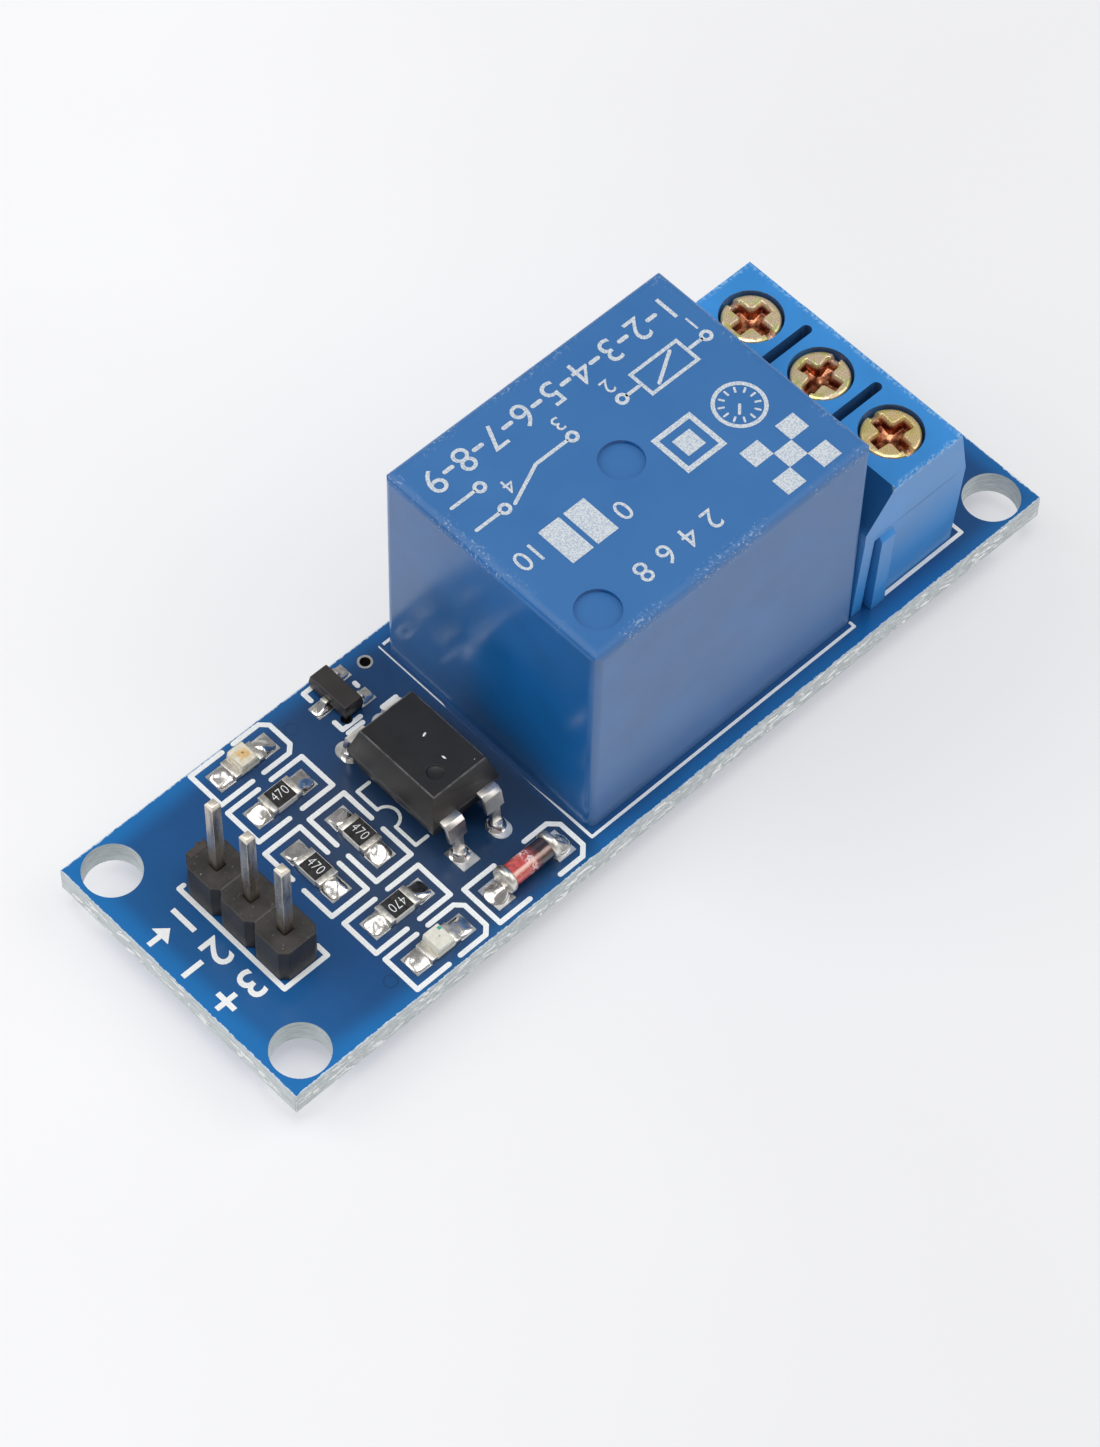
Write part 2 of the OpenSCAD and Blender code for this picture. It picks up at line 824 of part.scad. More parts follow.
// Spool with a barrel and two flanges; the lower one carries the coil pins.
module coil_bobbin() {
    bottom = yoke_foot_z + yoke_t;
    top = hinge_z - pole_h - contact_gap;
    barrel_d = core_d + 2 * bobbin_wall;
    ear = [2.2, 13.2];
    color([0.85, 0.82, 0.72])
        in_relay()
            difference() {
                translate([coil_x, 0, 0]) {
                    translate([0, 0, bottom]) cylinder(d = barrel_d, h = top - bottom);
                    for (z = [bottom, top - flange_t])
                        translate([0, 0, z])
                            rounded_plate([flange_w, flange_w, flange_t], 1.2);
                    translate([coil_pin_x - coil_x - ear.x / 2, -ear.y / 2, bottom])
                        cube([ear.x, ear.y, flange_t]);
                }
                translate([coil_x, 0, bottom - eps]) cylinder(d = core_d, h = 20);
                for (side = [-1, 1])
                    translate([coil_pin_x, side * pin_row_y, bottom - eps])
                        cylinder(d = coil_pin_d, h = flange_t + 2 * eps);
            }
}

module coil_winding() {
    bottom = yoke_foot_z + yoke_t + flange_t;
    top = hinge_z - pole_h - contact_gap - flange_t;
    color([0.72, 0.36, 0.16])
        in_relay()
            translate([coil_x, 0, bottom])
                difference() {
                    cylinder(d = winding_d, h = top - bottom);
                    translate([0, 0, -eps])
                        cylinder(d = core_d + 2 * bobbin_wall, h = top);
                }
}

// Iron core: pole face above the bobbin, shank, and the spigot riveted into the yoke.
module coil_core() {
    color([0.62, 0.63, 0.65])
        in_relay()
            translate([coil_x, 0, 0]) {
                translate([0, 0, hinge_z - pole_h - contact_gap])
                    cylinder(d = pole_d, h = pole_h);
                translate([0, 0, yoke_foot_z + yoke_t])
                    cylinder(d = core_d, h = hinge_z - contact_gap - yoke_foot_z - yoke_t);
                translate([0, 0, yoke_foot_z])
                    cylinder(d = spigot_d, h = yoke_t + eps);
            }
}

module coil_pin(side) {
    top = yoke_foot_z + yoke_t + flange_t + 0.8;
    color([0.8, 0.81, 0.83])
        in_relay()
            translate([coil_pin_x, side * pin_row_y, -board_t - tail])
                cylinder(d = coil_pin_d, h = top + board_t + tail);
}

// L-shaped iron yoke: foot under the bobbin, upright beside it, and the common pin.
module yoke() {
    foot_end = 1.6;
    color([0.6, 0.61, 0.63])
        in_relay()
            difference() {
                union() {
                    translate([yoke_x, -yoke_w / 2, yoke_foot_z])
                        cube([foot_end - yoke_x, yoke_w, yoke_t]);
                    translate([yoke_x, -yoke_w / 2, yoke_foot_z])
                        cube([yoke_t, yoke_w, hinge_z - contact_gap / 2 - yoke_foot_z]);
                    translate([yoke_x, -flat_pin.y / 2, base_z])
                        cube([yoke_t, flat_pin.y, yoke_foot_z - base_z + eps]);
                    translate([common_pin_x - flat_pin.x / 2, -flat_pin.y / 2, -board_t - tail])
                        cube([flat_pin.x, flat_pin.y, board_t + tail + base_z + eps]);
                }
                translate([coil_x, 0, yoke_foot_z - eps])
                    cylinder(d = spigot_d, h = yoke_t + 2 * eps);
            }
}

// Children are drawn with the armature closed and swing open about the yoke's edge.
module on_armature() {
    in_relay()
        translate([hinge_x, 0, hinge_z])
            rotate([0, -armature_tilt, 0])
                children();
}

// Flat iron plate, narrowed towards the contacts, with two rivets staked up through the leaf.
module armature() {
    full = 4.2;
    neck = 2.4;
    length = armature_end - hinge_x;
    color([0.58, 0.59, 0.61])
        on_armature() {
            linear_extrude(armature_t)
                polygon([[0, -full], [length - 3, -full], [length, -neck],
                         [length, neck], [length - 3, full], [0, full]]);
            for (x = rivets_x)
                translate([x, 0, armature_t - eps])
                    cylinder(d = rivet_d, h = spring_t + 0.3 + eps);
        }
}

// Copper-alloy leaf: riveted on the armature, folded down behind the yoke, and running
// on to carry the moving contact.
module contact_spring() {
    broad = 3.2;
    slim = 1.4;
    tip_x = contact_x - hinge_x;
    start = armature_end - hinge_x;
    leg_x = -spring_gap - spring_t;
    color([0.8, 0.55, 0.3])
        on_armature()
            difference() {
                union() {
                    translate([0, 0, armature_t])
                        linear_extrude(spring_t) {
                            polygon([[leg_x, -broad], [start - 1.6, -broad], [start + 0.6, -slim],
                                     [tip_x, -slim], [tip_x, slim], [start + 0.6, slim],
                                     [start - 1.6, broad], [leg_x, broad]]);
                            translate([tip_x, 0]) circle(slim);
                        }
                    translate([leg_x, -broad, armature_t + spring_t - spring_leg])
                        cube([spring_t, 2 * broad, spring_leg]);
                }
                for (x = rivets_x)
                    translate([x, 0, armature_t - eps]) cylinder(d = rivet_d, h = 1);
                translate([tip_x, 0, armature_t - eps]) cylinder(d = 1.2, h = 1);
            }
}

// Double-faced rivet that bears on the closed contact at rest and on the open one when pulled.
module moving_contact() {
    color([0.85, 0.86, 0.87])
        on_armature()
            translate([contact_x - hinge_x, 0, armature_t]) {
                translate([0, 0, -contact_h]) cylinder(d = contact_d, h = contact_h);
                cylinder(d = 1.2, h = spring_t);
                translate([0, 0, spring_t]) cylinder(d = contact_d, h = contact_h);
            }
}

contact_arm = contact_x - hinge_x;
face_rise = (contact_arm + contact_d / 2) * sin(armature_tilt);
closed_face_z = hinge_z + (armature_t + spring_t + contact_h) + face_rise + contact_gap;
open_face_z = hinge_z + armature_t - contact_h - contact_gap;

// Fixed blade above the moving contact; the circuit is closed through it at rest.
module closed_contact() {
    blade_z = closed_face_z + contact_h;
    color([0.78, 0.6, 0.32])
        in_relay() {
            blade(1, blade_z, 1.2, blade_x + blade_t, 1.2);
            translate([contact_x, 0, closed_face_z]) cylinder(d = contact_d, h = contact_h);
        }
}

// Fixed blade below the moving contact; the circuit closes through it when the coil pulls.
module open_contact() {
    blade_z = open_face_z - contact_h - blade_t;
    color([0.78, 0.6, 0.32])
        in_relay() {
            blade(-1, blade_z, 1.2, blade_x - 0.2, 2.6);
            translate([contact_x, 0, blade_z + blade_t]) cylinder(d = contact_d, h = contact_h);
        }
}

// Folded strip on one side of the relay: pin, foot on the base, upright at the end wall, and
// a tongue at height z that reaches across to the contact line.
module blade(side, z, over, tongue_end, upright_from) {
    outer = pin_row_y + flat_pin.y / 2;
    foot_z = base_z + base_t;
    tongue_from = contact_x - contact_d / 2;
    mirror([0, side < 0 ? 1 : 0, 0]) {
        translate([pin_row_x - flat_pin.x / 2, pin_row_y - flat_pin.y / 2, -board_t - tail])
            cube([flat_pin.x, flat_pin.y, board_t + tail + foot_z + eps]);
        translate([pin_row_x - flat_pin.x / 2, pin_row_y - flat_pin.y / 2, foot_z])
            cube([blade_x + blade_t - pin_row_x + flat_pin.x / 2, flat_pin.y, blade_t]);
        translate([blade_x, upright_from, foot_z])
            cube([blade_t, outer - upright_from, z - foot_z + blade_t]);
        translate([tongue_from, -over, z])
            cube([tongue_end - tongue_from, over + upright_from + eps, blade_t]);
        translate([tongue_from, upright_from, z])
            cube([blade_x + blade_t - tongue_from, outer - upright_from - 1, blade_t]);
    }
}

// ======================= screw terminal =======================

module in_block(i) {
    translate([0, way_y(i), board_top]) children();
}

module terminal_housing() {
    color([0.2, 0.5, 0.8])
        difference() {
            union() {
                intersection() {
                    translate([0, block_y + block_l / 2, board_top])
                        rotate([90, 0, 0])
                            linear_extrude(block_l)
                                block_side();
                    drafted_ends();
                }
                near_rib();
                far_rib();
            }
            near_groove();
            for (i = [0 : ways - 1])
                in_block(i) way_hollow();
            for (i = [0 : ways - 2])
                in_block(i) translate([0, way_pitch / 2, 0]) top_slot();
        }
}

// The space between the two end walls, which lean in below the parting line.
module drafted_ends() {
    y = block_l / 2;
    translate([block_x - 1, block_y, board_top])
        rotate([90, 0, 90])
            linear_extrude(block_d + 2)
                polygon([[end_draft - y, 0], [y - end_draft, 0], [y, brow_z],
                         [y, block_h + 1], [-y, block_h + 1], [-y, brow_z]]);
}

// Outline of the housing seen along the board's width.
module block_side() {
    front = block_x + block_d;
    polygon([[block_x, 0], [front, 0], [front, brow_z], [front - wire_slope, block_h],
             [block_x + relay_slope, block_h], [block_x, shoulder_z]]);
}

// Hollow of one way: screw well, screw hole, cage shaft and wire entry.
module way_hollow() {
    back = block_x + cavity_back;
    front = block_x + block_d - cavity_front;
    shaft_top = shelf_z;
    translate([screw_x, 0, screw_top - head_h])
        cylinder(d = well_d, h = 5);
    translate([screw_x, 0, shaft_top - eps])
        cylinder(d = screw_d + 0.2, h = shelf_t + 2 * eps);
    translate([back, -cavity_w / 2, -eps])
        cube([front - back, cavity_w, shaft_top + eps]);
    translate([front - eps, -entry_w / 2, entry_z[0]])
        cube([cavity_front + 1, entry_w, entry_z[1] - entry_z[0]]);
    translate([block_x + block_d - entry_rim, -entry_w / 2 - entry_rim, entry_z[0] - entry_rim])
        cube([1, entry_w + 2 * entry_rim, entry_z[1] - entry_z[0] + 2 * entry_rim]);
}

// Narrow slot in the top between two ways, open to the relay side.
module top_slot() {
    translate([block_x - eps, -slot_w / 2, block_h - slot_depth])
        cube([slot_end_x - block_x - slot_w / 2, slot_w, 5]);
    translate([slot_end_x - slot_w / 2, 0, block_h - slot_depth])
        cylinder(d = slot_w, h = 5);
}

// Rib on the near end, beside the groove that takes the next block's rib.
module near_rib() {
    translate([block_x + near_rib_span[0], block_y - block_l / 2, board_top])
        rib(near_rib_span[1] - near_rib_span[0]);
}

module near_groove() {
    translate([block_x + groove_span[0], block_y - block_l / 2 - 1, board_top - eps])
        cube([groove_span[1] - groove_span[0], 1 + groove_depth, rib_top + eps]);
}

module far_rib() {
    translate([block_x + far_rib_span[1], block_y + block_l / 2, board_top])
        rotate(180)
            rib(far_rib_span[1] - far_rib_span[0]);
}

// A rib that stands out towards -Y, with a roof that slopes away from the housing.
module rib(width) {
    root = end_draft + 0.1;
    rotate([90, 0, 90])
        linear_extrude(width)
            polygon([[root, 0], [rib_lean - rib_reach, 0], [-rib_reach, rib_top - rib_roof],
                     [0, rib_top], [root, rib_top]]);
}

// Screw with a pan head, a slot and a cross recess. It turns but never travels.
module terminal_screw(i) {
    tip_z = tongue_z + tongue_t + 0.08;
    head_z = screw_top - head_h;
    tip_edge = 0.15;
    dome_steps = 4;
    dome = [for (k = [0 : dome_steps])
        let (a = 90 * k / dome_steps)
        [screw_head_d / 2 - head_round * (1 - cos(a)), screw_top - head_dome * (1 - sin(a))]];
    color([0.86, 0.74, 0.45])
        in_block(i)
            translate([screw_x, 0, 0])
                difference() {
                    rotate_extrude()
                        polygon(concat(
                            [[0, tip_z], [screw_d / 2 - tip_edge, tip_z],
                             [screw_d / 2, tip_z + tip_edge], [screw_d / 2, head_z],
                             [screw_head_d / 2, head_z]],
                            dome, [[0, screw_top]]));
                    translate([0, 0, screw_top])
                        rotate(screw_turns[i]) driver_recess();
                }
}

module driver_recess() {
    slot = [4, 0.45, 0.55];
    arm = [2.3, 0.7, 0.85];
    centre_d = 1.3;
    translate([-slot.x / 2, -slot.y / 2, -slot.z])
        cube([slot.x, slot.y, 1]);
    for (turn = [0, 90])
        rotate(turn)
            translate([-arm.x / 2, -arm.y / 2, -arm.z])
                cube([arm.x, arm.y, 2]);
    translate([0, 0, -arm.z]) cylinder(d = centre_d, h = 2);
}

// Rectangular cage around the tongue, threaded on the screw.
module terminal_cage(i) {
    height = cage_floor + cage_window + cage_top;
    color([0.75, 0.76, 0.78])
        in_block(i)
            translate([screw_x, 0, cage_z + cage_lift])
                difference() {
                    translate([-cage_l / 2, -cage_w / 2, 0])
                        cube([cage_l, cage_w, height]);
                    translate([-cage_l / 2 - eps, cage_side - cage_w / 2, cage_floor])
                        cube([cage_l + 2 * eps, cage_w - 2 * cage_side, cage_window]);
                    translate([0, 0, height - cage_top - eps])
                        cylinder(r = screw_d / 2 + screw_play, h = 2);
                }
}

// Folded strip: tongue in the cage, upright at the back, foot under the cage, and the pin.
module terminal_strip(i) {
    back = block_x + cavity_back;
    front = block_x + block_d - cavity_front - 0.3;
    color([0.82, 0.78, 0.62])
        in_block(i) {
            translate([back, -tongue_w / 2, tongue_z])
                cube([front - back, tongue_w, tongue_t]);
            translate([back, -cavity_w / 2, strip_z])
                cube([strip_t, cavity_w, tongue_z + tongue_t - strip_z]);
            translate([back, -cavity_w / 2, strip_z])
                cube([strip_pin_x + strip_pin.x / 2 - back, cavity_w, strip_t]);
            translate([strip_pin_x - strip_pin.x / 2, -strip_pin.y / 2, -board_t - tail])
                cube([strip_pin.x, strip_pin.y, board_t + tail + strip_z + eps]);
        }
}

// ======================= solder =======================

// Fillets that climb the plated ends of the chip parts, the diode's caps and the
// transistor's feet.
module chip_solder() {
    color([0.82, 0.83, 0.85]) {
        for (i = [0 : 3])
            on_board(resistor_at[i], board_top + land_t)
                rotate(resistor_turn[i])
                    end_fillets(chip_l, 0.34, chip_land_x + chip_land.x / 2, chip_w - 0.1);
        for (place = [lamp_1_at, lamp_2_at])
            on_board(place, board_top + land_t)
                end_fillets(lamp_l, 0.3, chip_land_x + chip_land.x / 2, lamp_w - 0.1);
        on_board(diode_at, board_top + land_t)
            end_fillets(diode_l, 0.6, diode_land_x + diode_land.x / 2, 1.3);
    }
}

// A hollow-faced wedge at each end of a chip of the given length.
module end_fillets(length, rise, reach, width) {
    x = length / 2;
    steps = 4;
    face = [for (i = [0 : steps])
        let (t = i / steps)
        [x + (reach - x) * t, rise * pow(1 - t, 2) + 0.03]];
    for (turn = [0, 180])
        rotate(turn)
            translate([0, width / 2, 0])
                rotate([90, 0, 0])
                    linear_extrude(width)
                        polygon(concat([[reach, 0], [x, 0]], face));
}

module header_solder() {
    color([0.82, 0.83, 0.85])
        difference() {
            for (i = [0 : header_pins - 1])
                on_board(header_pin_at(i), -land_t)
                    solder_cone(header_land_d / 2 - 0.05, 0.5, cone_h);
            for (i = [0 : header_pins - 1])
                pin_cut(header_pin_at(i), [pin_side, pin_side]);
        }
}

// Clears a solder joint for a pin with a rectangular section.
module pin_cut(place, size) {
    translate([place.x - size.x / 2, place.y - size.y / 2, -5])
        cube([size.x, size.y, 10]);
}

module opto_solder() {
    color([0.82, 0.83, 0.85])
        difference() {
            for (place = opto_pins) {
                on_board(place, -land_t) solder_cone(0.56, 0.34, cone_h);
                on_board(place, board_top + land_t)
                    mirror([0, 0, 1]) solder_cone(0.56, 0.34, 0.4);
            }
            opto_leads();
        }
}

module relay_solder() {
    color([0.82, 0.83, 0.85])
        difference() {
            union() {
                for (place = relay_flat_pins)
                    on_board(place, -land_t) solder_cone(1.45, 0.62, cone_h + 0.2);
                for (place = relay_coil_pins)
                    on_board(place, -land_t) solder_cone(1.0, 0.42, cone_h + 0.1);
            }
            for (place = relay_flat_pins)
                pin_cut(place, flat_pin);
            for (place = relay_coil_pins)
                translate([place.x, place.y, -5]) cylinder(d = coil_pin_d, h = 10);
        }
}

module terminal_solder() {
    color([0.82, 0.83, 0.85])
        difference() {
            for (i = [0 : ways - 1])
                on_board(strip_pin_at(i), -land_t) solder_cone(1.4, 0.72, cone_h + 0.2);
            for (i = [0 : ways - 1])
                pin_cut(strip_pin_at(i), strip_pin);
        }
}

// ======================= the assembly =======================

circuit_board();
copper_lands();
legend();
header_housing();
header_pin(0);  // header_pin_1
header_pin(1);  // header_pin_2
header_pin(2);  // header_pin_3
resistor(0);  // resistor_1
resistor(1);  // resistor_2
resistor(2);  // resistor_3
resistor(3);  // resistor_4
resistor_caps();
resistor_coats();
lamp_base(lamp_1_at);  // lamp_1_base
lamp_lens(lamp_1_at);  // lamp_1_lens
lamp_base(lamp_2_at);  // lamp_2_base
lamp_lens(lamp_2_at);  // lamp_2_lens
lamp_ends();
transistor_body();
transistor_leads();
diode_glass();
diode_caps();
diode_pellet();
opto_body();
opto_leads();
relay_case();
relay_base();
coil_bobbin();
coil_winding();
coil_core();
coil_pin(-1);  // coil_pin_1
coil_pin(1);  // coil_pin_2
yoke();
armature();
contact_spring();
moving_contact();
closed_contact();
open_contact();
terminal_housing();
terminal_screw(0);  // terminal_screw_1
terminal_screw(1);  // terminal_screw_2
terminal_screw(2);  // terminal_screw_3
terminal_cage(0);  // terminal_cage_1
terminal_cage(1);  // terminal_cage_2
terminal_cage(2);  // terminal_cage_3
terminal_strip(0);  // terminal_strip_1
terminal_strip(1);  // terminal_strip_2
terminal_strip(2);  // terminal_strip_3
chip_solder();
header_solder();
opto_solder();
relay_solder();
terminal_solder();
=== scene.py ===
import math
import random
from functools import cache

import bmesh
import bpy
from bpy.props import FloatProperty, FloatVectorProperty, IntProperty, PointerProperty
from mathutils import Matrix, Vector, noise


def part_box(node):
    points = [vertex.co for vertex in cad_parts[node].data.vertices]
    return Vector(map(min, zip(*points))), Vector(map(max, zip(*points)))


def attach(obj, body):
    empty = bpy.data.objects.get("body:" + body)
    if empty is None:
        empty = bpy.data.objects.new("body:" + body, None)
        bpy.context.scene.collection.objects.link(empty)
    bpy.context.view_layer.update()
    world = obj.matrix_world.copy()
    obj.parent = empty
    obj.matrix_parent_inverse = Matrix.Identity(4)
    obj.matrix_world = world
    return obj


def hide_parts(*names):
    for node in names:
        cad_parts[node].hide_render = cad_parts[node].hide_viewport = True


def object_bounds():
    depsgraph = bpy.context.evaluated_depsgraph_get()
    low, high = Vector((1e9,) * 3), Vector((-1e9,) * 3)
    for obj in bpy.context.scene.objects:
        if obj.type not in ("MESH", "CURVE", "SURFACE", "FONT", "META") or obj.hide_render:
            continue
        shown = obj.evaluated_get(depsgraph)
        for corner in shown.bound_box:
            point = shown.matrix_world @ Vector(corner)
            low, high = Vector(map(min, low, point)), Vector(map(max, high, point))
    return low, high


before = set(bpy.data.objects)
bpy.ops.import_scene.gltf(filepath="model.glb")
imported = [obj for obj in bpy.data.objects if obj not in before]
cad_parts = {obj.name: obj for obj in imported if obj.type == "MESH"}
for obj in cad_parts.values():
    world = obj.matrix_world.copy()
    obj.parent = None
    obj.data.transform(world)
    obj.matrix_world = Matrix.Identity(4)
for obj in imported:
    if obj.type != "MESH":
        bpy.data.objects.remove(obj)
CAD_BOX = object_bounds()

bl_info = {
    "name": "Relay Module Finish",
    "version": (1, 0, 0),
    "blender": (4, 5, 0),
    "location": "View3D > Sidebar > Relay Module",
    "description": "Dresses a single-channel relay module: board, relay, terminal and small parts",
    "category": "Object",
}

MM = 0.001


def middle(node):
    low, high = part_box(node)
    return (low + high) / 2


def span(node):
    """Low and high corners of a CAD node, in millimetres."""
    low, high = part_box(node)
    return low / MM, high / MM


# ---------------------------------------------------------------- measures in metres

BOARD_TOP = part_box("circuit_board")[1].z
LAND_TOP = BOARD_TOP + 0.03 * MM
CHIP_HALF = 1.0 * MM
LAND_REACH = 2.0 * MM
CHIP_TURNS = {"resistor_1": 0, "resistor_2": 90, "resistor_3": 90, "resistor_4": 180}

BODY_ROUND = 0.07 * MM
BLOCK_ROUND = 0.10 * MM
CAP_ROUND = 0.18 * MM

SPLINTERS = 150
FRONT_SPLINTERS = 110

LAMP_POWER = 1.9
LAMPS = {  # place and width
    "left_box": ((-0.42, 0.36, 0.50), 0.55),
    "right_box": ((0.48, -0.42, 0.52), 0.60),
    "top_box": ((-0.03, -0.04, 0.80), 0.40),
}
WORLD_LIGHT = 0.42
WORLD_IN_GLOSS = 0.26
FLOOR_HALF = 1.5
CAMERA_TARGET = Vector((-4.50, -3.56, 6.0)) * MM
CAMERA_DISTANCE = 238.2 * MM
CAMERA_AZIMUTH = math.radians(45.02)
CAMERA_ELEVATION = math.radians(56.70)
CAMERA_ROLL = math.radians(1.75)
CAMERA_LENS = 117.4

# ---------------------------------------------------------------- measures in millimetres

OPEN_VIAS = ((-6.87, 7.80), (-9.97, 5.85))
TENTED_VIAS = ((-12.45, 7.30), (-18.84, -7.24), (-6.10, -3.40))
DUST_FLAKES = (  # place from the middle of the optocoupler, length and turn
    (0.45, 0.36, 0.30, 20), (0.24, -1.32, 0.28, 92), (1.29, -2.44, 0.08, 0),
)
SCREW_TURNS = (84, 10, 90)  # how each slot came to rest, in degrees
HEAD_HEIGHT = 1.25
HEAD_ROUND = 0.35
HEAD_DOME = 0.15
SHANK_RADIUS = 1.25
THREAD_PITCH = 0.45
THREAD_DEPTH = 0.14
CROSS_REACH = 1.20
CROSS_HALF_WIDTH = 0.40
CROSS_CENTRE = 0.66
CROSS_DEPTH = 0.85
CROSS_RISE = 0.28
CROSS_WALL = 0.26
SLOT_HALF_WIDTH = 0.27
SLOT_DEPTH = 0.36
SLOT_WALL = 0.10

# ---------------------------------------------------------------- looks of like finishes

TINS = {  # tint, roughness, size and depth of the swells in millimetres
    "tinned land": ((0.84, 0.83, 0.81), 0.34, 0.7, 0.03),
    "solder": ((0.93, 0.90, 0.86), 0.19, 0.6, 0.04),
    "plated end": ((0.88, 0.84, 0.77), 0.36, 0.3, 0.02),
}
METALS = {  # tint, roughness
    "tinned pin": ((0.86, 0.82, 0.76), 0.24),
    "plated iron": ((0.58, 0.58, 0.58), 0.3),
    "contact brass": ((0.74, 0.55, 0.28), 0.28),
    "contact silver": ((0.86, 0.86, 0.85), 0.18),
    "spring leaf": ((0.78, 0.46, 0.26), 0.26),
    "cage steel": ((0.68, 0.69, 0.70), 0.25),
    "strip brass": ((0.78, 0.72, 0.54), 0.25),
}
PLAINS = {  # base colour, roughness, metallic
    "torn laminate": ((0.93, 0.95, 0.96), 0.6, 0.0),
    "snapped moulding": ((0.050, 0.038, 0.032), 0.5, 0.0),
    "lamp laminate": ((0.80, 0.78, 0.66), 0.5, 0.0),
    "green mark": ((0.05, 0.42, 0.30), 0.45, 0.0),
    "gilt frame": ((0.85, 0.62, 0.30), 0.3, 1.0),
    "lamp crystal": ((0.10, 0.06, 0.03), 0.3, 0.0),
    "diode crystal": ((0.2, 0.2, 0.2), 0.3, 0.0),
    "relay base": ((0.04, 0.13, 0.32), 0.45, 0.0),
    "bobbin resin": ((0.74, 0.70, 0.56), 0.4, 0.0),
}

# ---------------------------------------------------------------- shader sums


def sum_of(operation, reflected=False):
    """An operator of Link, which adds a Math node."""

    def operator(self, other):
        terms = (other, self) if reflected else (self, other)
        return self.sum(operation, *terms)

    return operator


class Link:
    """An output socket of a material's node, on which sums can be written."""

    def __init__(self, finish, socket):
        self.finish = finish
        self.socket = socket

    def sum(self, operation, *terms):
        inputs = dict(enumerate(terms))
        return self.finish.node("ShaderNodeMath", {"operation": operation}, inputs)

    __add__ = sum_of("ADD")
    __radd__ = sum_of("ADD", reflected=True)
    __sub__ = sum_of("SUBTRACT")
    __rsub__ = sum_of("SUBTRACT", reflected=True)
    __mul__ = sum_of("MULTIPLY")
    __rmul__ = sum_of("MULTIPLY", reflected=True)
    __truediv__ = sum_of("DIVIDE")
    __rtruediv__ = sum_of("DIVIDE", reflected=True)
    __pow__ = sum_of("POWER")
    least = sum_of("MINIMUM")
    most = sum_of("MAXIMUM")

    def __neg__(self):
        return self * -1.0

    def __abs__(self):
        return self.sum("ABSOLUTE", self)

    def between(self, low, high):
        """0 below low, 1 above high, and a smooth rise in between."""
        settings = {"interpolation_type": "SMOOTHSTEP"}
        inputs = {"Value": self, "From Min": low, "From Max": high}
        return self.finish.node("ShaderNodeMapRange", settings, inputs)


